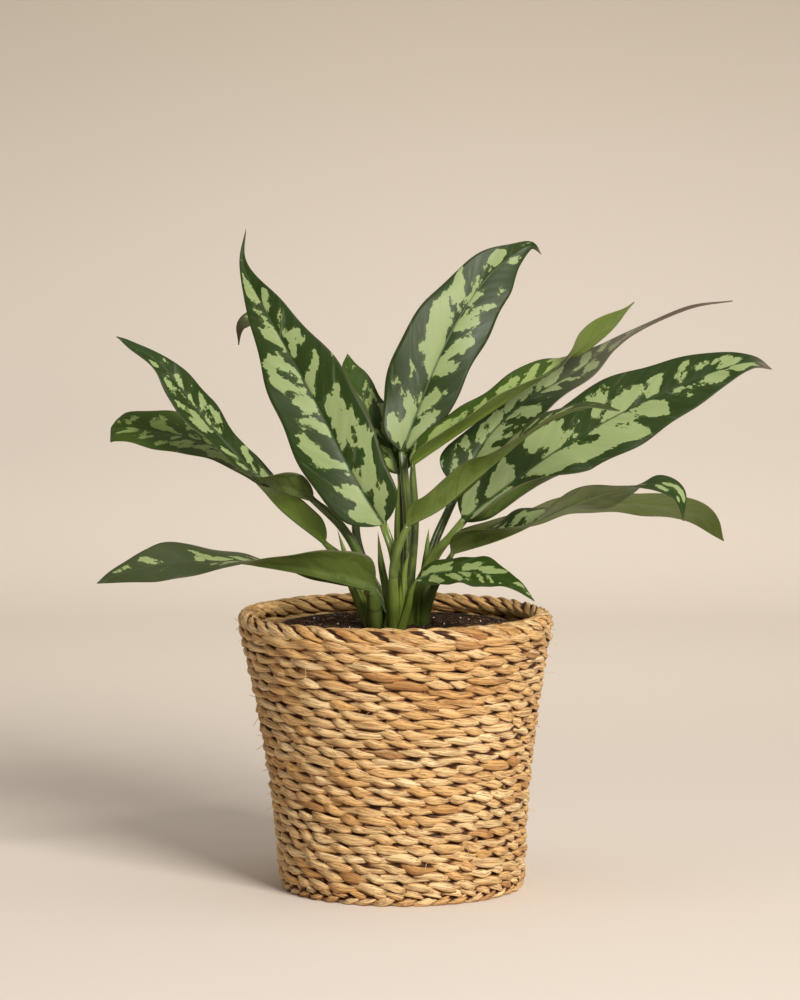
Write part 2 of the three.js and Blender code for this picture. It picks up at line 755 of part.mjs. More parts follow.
const plant = new THREE.Group();
plant.add(named('basket_wall', basketWall(), COLOURS.seagrass));
plant.add(named('basket_rim', basketRim(), COLOURS.seagrass));
plant.add(named('basket_foot', basketFoot(), COLOURS.seagrassDark));
plant.add(named('basket_base', basketBase(), COLOURS.seagrassDark));
plant.add(named('nursery_pot', nurseryPot(), COLOURS.pot, 0.45));
plant.add(named('soil', soilBody(), COLOURS.soil, 1));
for (const key of Object.keys(SHOOTS)) {
  plant.add(named(`shoot_${key}`, shootBody(key), COLOURS.stalk, 0.5));
}
for (const [name, leaf] of Object.entries(LEAVES)) {
  plant.add(named(name, leafBody(leaf), COLOURS.leaf, 0.4));
}

export default plant;
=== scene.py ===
# %% [markdown]
# # A potted aglaonema in a woven basket
# A small aglaonema grows in a thin black nursery pot, and the pot stands in a basket twined from
# seagrass. This lesson dresses a model whose solids are already fixed: every piece below stands
# where its solid stands and only adds the detail that a maker would see up close. Lengths are in
# metres, +Z is up, +X is to the right and -Y is towards the viewer. The origin is on the floor
# under the middle of the basket.

# %% Load the fixed model
import math

import bpy
import numpy as np
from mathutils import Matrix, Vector


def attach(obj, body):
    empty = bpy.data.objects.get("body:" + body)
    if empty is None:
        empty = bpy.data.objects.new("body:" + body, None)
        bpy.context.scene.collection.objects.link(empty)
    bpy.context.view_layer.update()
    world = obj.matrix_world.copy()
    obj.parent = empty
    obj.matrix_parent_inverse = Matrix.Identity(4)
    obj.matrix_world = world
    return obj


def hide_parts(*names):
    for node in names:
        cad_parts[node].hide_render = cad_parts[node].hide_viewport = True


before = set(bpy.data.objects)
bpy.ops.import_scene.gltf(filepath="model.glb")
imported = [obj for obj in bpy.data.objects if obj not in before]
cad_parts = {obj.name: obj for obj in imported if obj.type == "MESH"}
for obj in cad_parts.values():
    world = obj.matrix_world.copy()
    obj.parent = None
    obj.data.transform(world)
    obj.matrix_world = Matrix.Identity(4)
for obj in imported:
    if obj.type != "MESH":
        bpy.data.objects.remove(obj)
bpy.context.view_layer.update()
MM = 0.001
TURN = 2 * math.pi

# %% [markdown]
# ## The camera
# The picture was taken from the front with a long lens, a little above the rim of the basket. A
# long lens keeps the walls of the basket almost parallel. The tilt comes from the height and width
# of the ellipse that the rim shows.

# %% Set up the camera
CAMERA_PLACE = (-1.436 * MM, -2800 * MM, 513.72 * MM)
CAMERA_TILT = 5.926
camera_lens = bpy.data.cameras.new("long_lens")
camera_lens.lens = 177.31
camera_lens.sensor_width = 36
camera = bpy.data.objects.new("camera", camera_lens)
camera.location = CAMERA_PLACE
camera.rotation_euler = (math.radians(90 - CAMERA_TILT), 0, 0)
bpy.context.scene.collection.objects.link(camera)
bpy.context.scene.camera = camera
bpy.context.scene.view_settings.view_transform = "Standard"
print("camera stands", round(-CAMERA_PLACE[1], 2), "m in front and looks down", CAMERA_TILT, "degrees")

# %% [markdown]
# ## Writing node trees as sums
# Geometry nodes and shader nodes are both graphs, and a long graph is hard to read in code. The
# helpers below wrap a socket as a wire, so that a formula such as `radius + swing * lay.cosine()`
# builds its own Math nodes. The same helpers serve both kinds of tree.

# %% A wire, and what can be done with it
class Wire:
    """The output of a node. What is done with it adds nodes to the tree that it belongs to."""

    def __init__(self, desk, socket):
        self.desk = desk
        self.socket = socket

    def math(self, operation, *others):
        return self.desk.math(operation, self, *others)

    def __neg__(self):
        return self * -1.0

    def __abs__(self):
        return self.math("ABSOLUTE")

    def sine(self):
        return self.math("SINE")

    def cosine(self):
        return self.math("COSINE")

    def vector_math(self, operation, other):
        return self.desk.add("ShaderNodeVectorMath", {0: self, 1: other}, operation=operation)

    def split(self):
        node = self.desk.add("ShaderNodeSeparateXYZ", {0: self}, output=None)
        return [Wire(self.desk, socket) for socket in node.outputs]

    def smooth_step(self, low, high, start=0.0, end=1.0):
        """From start to end as the value goes from low to high, smoothly."""
        inputs = {0: self, 1: low, 2: high, 3: start, 4: end}
        return self.desk.add("ShaderNodeMapRange", inputs, interpolation_type="SMOOTHSTEP")

    def noise(self, scale=1.0, detail=0.0, seed=0.0, roughness=0.5):
        """Soft seeded noise around one half, at the place that the wire carries."""
        inputs = {"Vector": self, "W": seed, "Scale": scale, "Detail": detail, "Roughness": roughness}
        return self.desk.add("ShaderNodeTexNoise", inputs, noise_dimensions="4D")

    def blend(self, first, second):
        """A colour between two colours. The wire is the second one's share."""
        return self.desk.add("ShaderNodeMix", {0: self, 6: first, 7: second}, output=2, data_type="RGBA")

    def keep(self, name, value, kind="FLOAT"):
        """Stores a value on every point of the geometry that the wire carries."""
        inputs = {"Geometry": self, "Name": name, "Value": value}
        return self.desk.add("GeometryNodeStoreNamedAttribute", inputs, data_type=kind, domain="POINT")

    def move(self, **to):
        """Moves points to a new Position or by an Offset."""
        return self.desk.add("GeometryNodeSetPosition", {"Geometry": self, **to})


def arithmetic(operation, swapped):
    """What one operator does with the wire on its left or, if swapped, on its right."""
    def build(wire, other):
        return wire.desk.math(operation, *((other, wire) if swapped else (wire, other)))
    return build


for sign, operation in {"add": "ADD", "sub": "SUBTRACT", "mul": "MULTIPLY", "truediv": "DIVIDE"}.items():
    setattr(Wire, f"__{sign}__", arithmetic(operation, swapped=False))
    setattr(Wire, f"__r{sign}__", arithmetic(operation, swapped=True))
print("a wire knows", ", ".join(name for name in vars(Wire) if not name.startswith("__")))


# %% A desk that lays out nodes
class Desk:
    """Adds nodes to one tree and wires them up."""

    def __init__(self, tree):
        self.tree = tree

    def feed(self, socket, value):
        if isinstance(value, Wire):
            self.tree.links.new(value.socket, socket)
        else:
            socket.default_value = value

    def add(self, kind, inputs=None, output=0, **settings):
        """A new node's output as a wire, or the node itself if the output is None."""
        node = self.tree.nodes.new(kind)
        for name, value in settings.items():
            setattr(node, name, value)
        for name, value in (inputs or {}).items():
            self.feed(node.inputs[name], value)
        return node if output is None else Wire(self, node.outputs[output])

    def math(self, operation, *values):
        return self.add("ShaderNodeMath", dict(enumerate(values)), operation=operation)

    def combine(self, x, y, z):
        return self.add("ShaderNodeCombineXYZ", {0: x, 1: y, 2: z})


print("a desk knows", ", ".join(name for name in vars(Desk) if not name.startswith("__")))


# %% Piece helpers
def skin_of(rings):
    """Vertices and faces over rings with equal counts of points, closed at both ends."""
    count = rings.shape[1]
    vertices = rings.reshape(-1, 3)
    k = np.arange(count)
    ring = np.arange(len(rings) - 1)[:, None] * count
    a, b = ring + k, ring + (k + 1) % count
    faces = np.stack([a, b, b + count, a + count], axis=-1).reshape(-1, 4).tolist()
    ends = k[::-1], k + len(vertices) - count
    return vertices, faces + [end.tolist() for end in ends]


def add_piece(name, vertices, faces, slot_materials, face_slots=None):
    """A smooth mesh object at the origin, with its place in its vertices."""
    mesh = bpy.data.meshes.new(name)
    mesh.from_pydata([tuple(v) for v in vertices], [], faces)
    for material in slot_materials:
        mesh.materials.append(material)
    if face_slots is not None:
        mesh.polygons.foreach_set("material_index", face_slots)
    mesh.polygons.foreach_set("use_smooth", [True] * len(mesh.polygons))
    mesh.update()
    piece = bpy.data.objects.new(name, mesh)
    bpy.context.scene.collection.objects.link(piece)
    return piece


def keep_on_points(piece, name, values):
    """Stores one vector for each vertex under a name that materials can read."""
    attribute = piece.data.attributes.new(name, "FLOAT_VECTOR", "POINT")
    attribute.data.foreach_set("vector", np.asarray(values, np.float32).ravel())


def hand_in(piece, slot, *nodes):
    """Fixes the piece to the object's one body, in the place of its solids."""
    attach(piece, "root")
    if nodes:
        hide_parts(*nodes)
    triangles = sum(len(face.vertices) - 2 for face in piece.data.polygons)
    print(f"{piece.name}: {triangles} triangles")


print("a skin over two rings of four points has", len(skin_of(np.zeros((2, 4, 3)))[1]), "faces")


# %% [markdown]
# ## Recipes in geometry nodes
# A recipe is a geometry node tree with named inputs for its sizes. It is put on an empty object,
# its inputs are set, and the evaluated result is copied into a plain mesh. Nothing live is left
# behind, so the piece can be exported as it stands.

# %% A recipe
VECTOR = "FLOAT_VECTOR"


class Recipe(Desk):
    """A geometry node tree with named inputs."""

    KINDS = {int: "NodeSocketInt", float: "NodeSocketFloat"}

    def __init__(self, name, **sizes):
        super().__init__(bpy.data.node_groups.new(name, "GeometryNodeTree"))
        face = self.tree.interface
        face.new_socket("Geometry", in_out="INPUT", socket_type="NodeSocketGeometry")
        for size, value in sizes.items():
            socket = face.new_socket(size, in_out="INPUT", socket_type=self.KINDS[type(value)])
            socket.default_value = value
        face.new_socket("finish", in_out="INPUT", socket_type="NodeSocketMaterial")
        face.new_socket("Geometry", in_out="OUTPUT", socket_type="NodeSocketGeometry")
        self.given = self.tree.nodes.new("NodeGroupInput")
        self.ending = self.tree.nodes.new("NodeGroupOutput")

    def size(self, name):
        return Wire(self, self.given.outputs[name])

    def here(self):
        return self.add("GeometryNodeInputPosition")

    def recall(self, name, kind="FLOAT"):
        return self.add("GeometryNodeInputNamedAttribute", {"Name": name}, data_type=kind)

    def random(self, low=0.0, high=1.0, **inputs):
        """A random number, or a random vector between two tuples, for each point or each ID."""
        first, output, kind = (0, 0, VECTOR) if isinstance(low, tuple) else (2, 1, "FLOAT")
        inputs |= {first: low, first + 1: high}
        return self.add("FunctionNodeRandomValue", inputs, output, data_type=kind)

    def copies(self, curve, amount):
        """Copies of a curve, and the number of the copy that each point is on."""
        inputs = {"Geometry": curve, "Amount": amount}
        node = self.add("GeometryNodeDuplicateElements", inputs, output=None, domain="SPLINE")
        return [Wire(self, node.outputs[name]) for name in ("Geometry", "Duplicate Index")]

    def line_of(self, count):
        mesh_line = self.add("GeometryNodeMeshLine", {"Count": count})
        return self.add("GeometryNodeMeshToCurve", {"Mesh": mesh_line})

    def finish(self, geometry):
        """Every recipe ends alike: real geometry, shaded and painted."""
        real = self.add("GeometryNodeRealizeInstances", {"Geometry": geometry})
        shaded = self.add("GeometryNodeSetShadeSmooth", {"Geometry": real})
        painted = self.add("GeometryNodeSetMaterial", {"Geometry": shaded, "Material": self.size("finish")})
        self.feed(self.ending.inputs["Geometry"], painted)
        print("recipe", self.tree.name, "has", len(self.tree.nodes), "nodes")


# %% Follow a recipe
def follow(recipe, name, finish, slot, *nodes, start=None, **sizes):
    """Runs a recipe on a copy of the start mesh, or on nothing, and hands in a plain mesh piece."""
    mesh = start.data.copy() if start else bpy.data.meshes.new(name)
    piece = bpy.data.objects.new(name, mesh)
    bpy.context.scene.collection.objects.link(piece)
    modifier = piece.modifiers.new("recipe", "NODES")
    modifier.node_group = recipe.tree
    wanted = {**sizes, "finish": finish}
    for item in recipe.tree.interface.items_tree:
        if item.item_type == "SOCKET" and item.in_out == "INPUT" and item.name in wanted:
            modifier[item.identifier] = wanted.pop(item.name)
    assert not wanted, f"the recipe has no input named {list(wanted)}"
    bpy.context.view_layer.update()
    graph = bpy.context.evaluated_depsgraph_get()
    made = bpy.data.meshes.new_from_object(piece.evaluated_get(graph), preserve_all_data_layers=True,
                                           depsgraph=graph)
    piece.modifiers.clear()
    piece.data = made
    made.name = name
    hand_in(piece, slot, *nodes)
    return piece


# %% [markdown]
# ## Shared effects for the finishes
# A finish is a material. Effects that several finishes share are shader node groups: they put out
# only values, and each material feeds them into its own shader.

# %% A finish
class Finish(Desk):
    """A material with one principled shader."""

    def __init__(self, name, roughness=0.5, specular=0.5):
        self.material = bpy.data.materials.new(name)
        self.material.use_nodes = True
        super().__init__(self.material.node_tree)
        self.shader = self.tree.nodes["Principled BSDF"]
        self.place = self.add("ShaderNodeTexCoord", output="Object")
        self.set("Roughness", roughness)
        self.set("Specular IOR Level", specular)
        print(f"finish {name}: roughness {roughness}, specular level {specular}")

    def set(self, name, value):
        self.feed(self.shader.inputs[name], value)

    def stored(self, name, output="Vector"):
        return self.add("ShaderNodeAttribute", output=output, attribute_name=name)

    def relief(self, height, distance, strength=1.0):
        """Bumps of the given height in metres."""
        inputs = {"Strength": strength, "Distance": distance, "Height": height}
        self.set("Normal", self.add("ShaderNodeBump", inputs))

    def use(self, effect, **values):
        """Places a shared effect and returns its outputs by name."""
        node = self.tree.nodes.new("ShaderNodeGroup")
        node.node_tree = effect.tree
        for key, value in values.items():
            self.feed(node.inputs[key], value)
        return {socket.name: Wire(self, socket) for socket in node.outputs}


# %% An effect that finishes share
class Effect(Desk):
    """A shader node group with named inputs and outputs."""

    def __init__(self, name, gives, **takes):
        super().__init__(bpy.data.node_groups.new(name, "ShaderNodeTree"))
        for label, value in takes.items():
            kind = "NodeSocketFloat" if isinstance(value, float) else "NodeSocketVector"
            socket = self.tree.interface.new_socket(label, in_out="INPUT", socket_type=kind)
            socket.default_value = value
        for label in gives:
            self.tree.interface.new_socket(label, in_out="OUTPUT", socket_type="NodeSocketFloat")
        self.given = self.tree.nodes.new("NodeGroupInput")
        self.ending = self.tree.nodes.new("NodeGroupOutput")

    def taken(self, label):
        return Wire(self, self.given.outputs[label])

    def give(self, **values):
        for label, value in values.items():
            self.feed(self.ending.inputs[label], value)
        print("effect", self.tree.name, "gives", ", ".join(values))


# %% Colours
def colour(*screen):
    """Red, green and blue as the eye reads them on a screen, 0 to 255, turned into linear light."""
    return *(((c / 255 + 0.055) / 1.055) ** 2.4 if c > 10 else c / 3295 for c in screen), 1.0


def coats(tone, *layers):
    """Lays colours over a colour one after the other, each by its own share."""
    for share, layer in layers:
        tone = share.blend(tone, layer)
    return tone


print("a straw colour in linear light:", tuple(round(c, 3) for c in colour(230, 190, 130)))

# %% [markdown]
# Dried grass, leaf stalks and sheaths all have fine lines along their length. The effect takes a
# place on a strand, given as (distance along, cosine around, sine around), and stretches noise
# along the strand. The cosine and sine have no seam where the strand closes on itself. Where the
# noise passes one half it draws thin, long lines, which are the splits between fibres.

# %% Fibre lines along a strand
FIBRE = Effect("fibre_lines", ("Lines", "Streaks", "Cracks"), Strand=(0, 0, 0), Stretch=40.0,
               Fineness=7.0, Seed=0.0)
along, across_x, across_y = FIBRE.taken("Strand").split()
fineness, seed = FIBRE.taken("Fineness"), FIBRE.taken("Seed")
fine_place = FIBRE.combine(along * FIBRE.taken("Stretch"), across_x * fineness, across_y * fineness)
lines = fine_place.noise(detail=3.0, seed=seed, roughness=0.65)
FIBRE.give(Lines=lines, Streaks=fine_place.noise(0.3, detail=1.0, seed=seed + 4.0),
           Cracks=abs(lines - 0.5).smooth_step(0.045, 0.0))

# %% [markdown]
# ## The seagrass
# Seagrass is sold as twisted cord made of flat dried blades. Each visible grain of the weave has
# its own tone between pale straw and orange-brown, lines run along it, and painted shade makes the
# hollows between the grains dark. The recipes store up to four values on every point for this
# finish: `strand`, the place along and around the strand, `grain`, one random number for each
# visible grain, `open`, which is low where the strand dives under its neighbour and, on the twined
# strands, along their upper and lower edges, where the finish paints shade, and along the edges
# dirt as well, and `inside`, which is high on the inner side of the basket, where the
# finish paints warm light that stands in for light bounced inside it.

# %% Seagrass finish
SILVER = colour(234, 210, 162)
STRAW = colour(225, 194, 142)
HONEY = colour(208, 162, 100)
TOASTED = colour(150, 98, 52)
HOLLOW_SHADE = colour(66, 36, 12)
PAINTED_WARM_LIGHT = colour(246, 200, 128)
grass = Finish("seagrass", roughness=0.6, specular=0.35)
grain, unshaded, inside = (grass.stored(name, "Fac") for name in ("grain", "open", "inside"))
fibre = grass.use(FIBRE, Strand=grass.stored("strand"), Stretch=60.0, Fineness=2.3, Seed=grain * 9.0)
weathered = grass.place.noise(26.0, detail=2.0, seed=7.0)
spots = grass.place.noise(900.0, detail=2.0, seed=3.0)
tone = coats(
    (grain + (weathered - 0.5) * 0.7).smooth_step(0.1, 1.1).blend(STRAW, HONEY),
    (grain.smooth_step(0.86, 0.98, 0.0, 0.7), TOASTED),
    (fibre["Streaks"].smooth_step(0.42, 0.66, 0.0, 0.6), HONEY),
    (fibre["Streaks"].smooth_step(0.47, 0.33, 0.0, 0.5), SILVER),
    # Painted light: the inner side of the basket is brightened with warm straw, standing in for light bounced
    # inside it.
    (inside * 0.65, PAINTED_WARM_LIGHT),
    (fibre["Cracks"] * 0.85, TOASTED),
    (spots.smooth_step(0.62, 0.74, 0.0, 0.5), TOASTED))
# Painted shade in the hollows: where `open` is low, the colour goes through toasted brown to the dark brown
# of the hollows.
edge = unshaded.smooth_step(0.0, 0.5).blend(HOLLOW_SHADE, TOASTED)
grass.set("Base Color", unshaded.smooth_step(0.15, 0.75).blend(edge, tone))
grass.set("Roughness", fibre["Lines"].smooth_step(0.3, 0.7, 0.72, 0.5))
grass.relief(fibre["Lines"] - fibre["Cracks"] * 0.35 + spots * 0.15, 0.5 * MM, 0.9)
SEAGRASS = (grass.material, "seagrass")

# %% Sizes of the basket
FOOT_RADIUS = 70.3 * MM
FLARE = 0.039
BULGE = 0.0006 / MM
LEAN = -4.3 / 160
WALL_BOTTOM = 9.9 * MM
WALL_TOP = 149.1 * MM
WEAVE_DEPTH = 2.9 * MM
ROWS = 25
ROW_PITCH = (WALL_TOP - WALL_BOTTOM) / ROWS
print(f"the wall has {ROWS} rows, one every {ROW_PITCH / MM:.2f} mm")


def wall_radius(height):
    """The outside of the basket at a height."""
    return height * height * BULGE + height * FLARE + FOOT_RADIUS


def leaning(radius, angle, height):
    """A place on the basket, which leans a little to the left as it goes up."""
    return angle.desk.combine(radius * angle.cosine() + height * LEAN, radius * angle.sine(), height)


def from_axis(recipe):
    """How far a point is from the leaning axis of the basket, and its height."""
    x, y, height = recipe.here().split()
    straight_x = x - height * LEAN
    return (straight_x * straight_x + y * y).math("SQRT"), height


# %% [markdown]
# ### The twined wall
# In twining, two strands cross over each other between every two stakes. From the outside, each
# crossing shows as a grain that slants down to the right. So each strand is a flattened screw
# line: it swings out and in by one amount and up and down by a smaller one, once per twist, while
# it climbs the basket in one long spiral. One recipe makes both strands; the second is half a
# twist behind the first. A grain is widest where it lies over a stake and thin where it dives.

# %% A strand from a path
def strand_along(path, lay, half_depth, half_height, sides, twist_length, swell=0.0):
    """A flattened strand along a path of points, with the values that its finish reads."""
    recipe = path.desk
    path = path.keep("middle", recipe.here(), VECTOR).keep("lay", lay)
    path = recipe.add("GeometryNodeSetCurveNormal", {"Curve": path}, mode="Z_UP")
    corner = recipe.here()
    circle = recipe.add("GeometryNodeCurvePrimitiveCircle", {"Resolution": sides, "Radius": 1.0})
    flattened = corner.vector_math("MULTIPLY", recipe.combine(half_depth, half_height, 0.0))
    profile = circle.keep("corner", corner, VECTOR).move(Position=flattened)
    skin = recipe.add("GeometryNodeCurveToMesh", {"Curve": path, "Profile Curve": profile, "Fill Caps": True})
    lay_here = recipe.recall("lay")
    corner_x, corner_y, _ = recipe.recall("corner", VECTOR).split()
    skin = skin.keep("strand", recipe.combine(lay_here * twist_length / TURN, corner_x, corner_y), VECTOR)
    seed = recipe.size("seed")
    dents, ridges = (
        recipe.combine(lay_here * slow, corner_x * fine, corner_y * fine).noise(seed=seed + later)
        for slow, fine, later in ((0.45, 1.2, 0.0), (0.25, 3.2, 2.0)))
    fullness = (dents - 0.5) * 1.1 + (ridges - 0.5) * 0.9 + 1.0 + (lay_here * 2.0).cosine() * swell
    centre = recipe.recall("middle", VECTOR)
    reach = recipe.here().vector_math("SUBTRACT", centre)
    swollen = reach.vector_math("MULTIPLY", recipe.combine(fullness, fullness, fullness))
    skin = skin.move(Position=centre.vector_math("ADD", swollen))
    for name in ("middle", "corner"):
        skin = recipe.add("GeometryNodeRemoveAttribute", {"Geometry": skin, "Name": name})
    return skin


def keep_painted_light_and_shade(skin):
    """Stores `open`, painted shade where a point lies deep in the wall and painted shade and dirt along the
    strand's upper and lower edges, and painted warm light on the inner side.
    """
    reach, height = from_axis(skin.desk)
    depth = wall_radius(height) - reach - WEAVE_DEPTH
    _, _, side = skin.desk.recall("strand", VECTOR).split()
    # Painted shade and dirt along the strand's upper and lower edges, and painted shade where it lies deep in
    # the wall.
    away_from_side = abs(side).smooth_step(0.72, 0.95, 1.0, 0.12)
    stands_out = abs(depth).smooth_step(0.5 * MM, 1.6 * MM)
    return skin.keep("inside", depth.smooth_step(0.0, 1.0 * MM)).keep("open", stands_out * away_from_side)


# %% The twining recipe
weave = Recipe("twining_strand", turns=25.0, twists=14.25, steps=20, bottom=0.0, pitch=0.0,
               swing_out=1.4 * MM, swing_up=1.3 * MM, half_depth=1.8 * MM, half_height=2.6 * MM,
               lag=0.0, seed=1.0)
size = weave.size
steps_per_turn = size("twists") * size("steps")
turns = weave.add("GeometryNodeInputIndex") / steps_per_turn
drift, sag, slack = (
    weave.combine(turns * pace, lane, own).noise(detail=1.0, seed=size("seed"))
    for pace, lane, own in ((16.0, 0.0, 0.0), (12.0, 5.0, 0.0), (24.0, 9.0, size("lag"))))
lay = turns * size("twists") * TURN + size("lag") + (drift - 0.5) * 6.0
middle_height = turns * size("pitch") + size("bottom") + (sag - 0.5) * 3.6 * MM
height = (middle_height + (slack - 0.5) * 1.6 * MM
          - lay.sine() * size("swing_up") * (slack * 1.6 + 0.2))
outward = lay.cosine() * size("swing_out") + (slack - 0.5) * 1.3 * MM
radius = wall_radius(middle_height) - WEAVE_DEPTH + outward
path = weave.line_of(steps_per_turn * size("turns")).move(Position=leaning(radius, turns * TURN, height))
strand = strand_along(path, lay, size("half_depth"), size("half_height"), 10, 30 * MM, swell=0.18)
whole_twists = weave.recall("lay") / TURN + 0.5 + size("lag") / math.pi * 1000.0
weave.finish(keep_painted_light_and_shade(strand.keep("grain", weave.random(ID=whole_twists, Seed=size("seed")))))

# %% Twine the wall
TUCKED_IN = 3.4 * MM
spiral = {"bottom": WALL_BOTTOM - TUCKED_IN, "pitch": ROW_PITCH, "seed": 3.0,
          "turns": (WALL_TOP - WALL_BOTTOM + 2 * TUCKED_IN) / ROW_PITCH}
first_strand = follow(weave, "twining_strand_1", *SEAGRASS, "basket_wall", lag=0.0, **spiral)
follow(weave, "twining_strand_2", *SEAGRASS, lag=math.pi, **spiral)

# %% [markdown]
# ### The stakes
# The upright stakes are thin twisted cords that the two strands close around. They only show as
# dark bundles in the gaps, but from inside the basket they hold the picture together. One stake
# is drawn as a curve that follows the wall and is copied around the basket.

# %% Set up the stakes
STAKES = 41
STAKE_BOTTOM = 6 * MM
STAKE_TOP = 152 * MM
STAKE_DEPTH = 3.4 * MM
STAKE_THICKNESS = 1.25 * MM
stakes = Recipe("stakes", seed=2.0)
line, stake_number = stakes.copies(stakes.line_of(30), STAKES)
share = stakes.add("GeometryNodeSplineParameter")
height = share * (STAKE_TOP - STAKE_BOTTOM) + STAKE_BOTTOM
place = leaning(wall_radius(height) - STAKE_DEPTH, stake_number / STAKES * TURN, height)
standing = line.move(Position=place).keep("grain", stakes.random(ID=stake_number))
standing = strand_along(standing, share * 90.0, STAKE_THICKNESS, STAKE_THICKNESS, 7, 10 * MM)
# Painted shade: the stakes lie deep in the gaps, so an `open` of 0.35 darkens them towards the hollow brown
# all along.
stakes.finish(standing.keep("open", 0.35))
follow(stakes, "stakes", *SEAGRASS)

# %% [markdown]
# ### The rim and the foot
# The rim is a rope of four plies laid in a ring, each a quarter of a twist from the next. The foot
# is a plait of three thicker plies: in a plait each ply weaves from side to side instead of going
# round. Both are closed rings, so both come from one recipe that makes a ring of plies, with a
# switch between a round lay and a plaited lay.

# %% The ring recipe
ring = Recipe("ring_of_plies", plies=4, steps=640, radius=84.7 * MM, middle=154.7 * MM, lays=11.0,
              swing_out=2.8 * MM, swing_up=2.4 * MM, plaited=0.0, half_depth=2.3 * MM,
              half_height=2.6 * MM, core=3.0 * MM, floor=-1.0, seed=5.0)
size = ring.size
circle, ply = ring.copies(ring.add("GeometryNodeCurvePrimitiveCircle", {"Resolution": size("steps")}),
                          size("plies"))
angle = ring.add("GeometryNodeSplineParameter", output=2) / size("steps") * TURN
drift = ring.combine(angle.cosine(), angle.sine(), ply * 0.37).noise(3.5, detail=1.0, seed=size("seed"))
lay = angle * size("lays") + ply / size("plies") * TURN + (drift - 0.5) * 1.6
plaited = size("plaited")
depth_turn = lay.cosine() * (1.0 - plaited) + (lay * 2.0).sine() * plaited
rise = lay.sine() * (1.0 - plaited) + lay.cosine() * plaited
outward = depth_turn * size("swing_out") + (drift - 0.5) * 1.0 * MM
height = size("middle") - rise * size("swing_up") + (drift - 0.5) * 1.2 * MM
path = circle.move(Position=leaning(size("radius") + outward, angle, height))
path = path.keep("grain", ring.random(ID=lay / TURN + ply * 50.0 + 0.25))
skin = strand_along(path, lay, size("half_depth"), size("half_height"), 16, 60 * MM)
reach, height = from_axis(ring)
sideways = reach - size("radius")
upwards = height - size("middle")
from_core = (sideways * sideways + upwards * upwards).math("SQRT") / size("core")
# Painted shade: the plies turn dark near the core of the ring, in the valleys between them.
skin = skin.keep("open", from_core.smooth_step(1.25, 1.55))
# Painted warm light on the inner side of the rim.
skin = skin.keep("inside", sideways.smooth_step(0.0, -2.0 * MM))
x, y, height = ring.here().split()
ring.finish(skin.move(Position=ring.combine(x, y, height.math("MAXIMUM", size("floor")))))

# %% Lay the rim and the foot
follow(ring, "rim_rope", *SEAGRASS, "basket_rim")
follow(ring, "foot_plait", *SEAGRASS, "basket_foot", plies=3, steps=480, radius=65.3 * MM,
       middle=4.8 * MM, lays=13.0, swing_out=1.7 * MM, swing_up=2.9 * MM, plaited=1.0,
       half_depth=2.9 * MM, half_height=2.3 * MM, core=2.5 * MM, floor=0.0)

# %% [markdown]
# ### The base
# The bottom is a flat coil of the same cord. It is only seen when the basket is tipped, but it is
# also what the pot stands on.

# %% Coil the base
COILS = 11
COIL_STEPS = 48 * COILS
COIL_INNER = 2.5 * MM
COIL_OUTER = 57.2 * MM
COIL_HEIGHT = 2.5 * MM
coil = Recipe("base_coil", seed=8.0)
share = coil.add("GeometryNodeInputIndex") / COIL_STEPS
angle = share * COILS * TURN
place = leaning(share * (COIL_OUTER - COIL_INNER) + COIL_INNER, angle, COIL_HEIGHT)
path = coil.line_of(COIL_STEPS).move(Position=place)
path = path.keep("grain", coil.combine(angle * 1.5, 0.0, 0.0).noise())
skin = strand_along(path, angle * 4.0, 2.6 * MM, 2.4 * MM, 10, 24 * MM)
coil.finish(skin.keep("open", 0.8))
follow(coil, "base_coil", *SEAGRASS, "basket_base")

# %% [markdown]
# ### Loose fibres
# Hand-twined seagrass is never clean: short split fibres stand out from the strands. Points are
# scattered over one strand and each gets a thin bent sliver.

# %% Scatter the loose fibres
FIBRES_PER_SQUARE_METRE = 5200.0
LONGEST_FIBRE = 7 * MM
FIBRE_THICKNESS = 0.16 * MM
MOST_TILT = 1.1
fluff = Recipe("loose_fibres")
places = fluff.add("GeometryNodeDistributePointsOnFaces", {
    "Mesh": fluff.size("Geometry"), "Density": FIBRES_PER_SQUARE_METRE, "Seed": 11,
    "Selection": fluff.recall("open").math("GREATER_THAN", 0.5)}, output=None)
sliver = fluff.add("GeometryNodeCurveQuadraticBezier", {
    "Resolution": 4, "Start": (0, 0, 0), "Middle": (0.1, 0, 0.6), "End": (0.55, 0.1, 1.0)})
outline = fluff.add("GeometryNodeCurvePrimitiveCircle", {
    "Resolution": 4, "Radius": FIBRE_THICKNESS / LONGEST_FIBRE})
sliver = fluff.add("GeometryNodeCurveToMesh", {"Curve": sliver, "Profile Curve": outline, "Fill Caps": True})
tilt = fluff.random((-MOST_TILT, -MOST_TILT, 0.0), (MOST_TILT, MOST_TILT, TURN), Seed=5)
facing_out = fluff.add("FunctionNodeRotateRotation", {
    "Rotation": Wire(fluff, places.outputs["Rotation"]),
    "Rotate By": fluff.add("FunctionNodeEulerToRotation", {"Euler": tilt})}, rotation_space="LOCAL")
length = fluff.random(0.25, 1.0, Seed=6) * LONGEST_FIBRE
slivers = fluff.add("GeometryNodeInstanceOnPoints", {
    "Points": Wire(fluff, places.outputs["Points"]), "Instance": sliver, "Rotation": facing_out,
    "Scale": fluff.combine(length, length, length)})
fluff.finish(fluff.add("GeometryNodeRealizeInstances", {"Geometry": slivers}).keep("open", 0.9))
follow(fluff, "loose_fibres", *SEAGRASS, start=first_strand)

# %% [markdown]
# ## The nursery pot
# A thin black pot with a rolled lip is hidden in the basket, all but its lip. It is a profile
# turned around the middle: a lathe in code, one ring of points for each corner of the profile. The
# drain holes of the fixed model lie on the basket's floor, out of sight, and aren't turned here.
# Dust and dried soil leave pale smudges on the plastic.

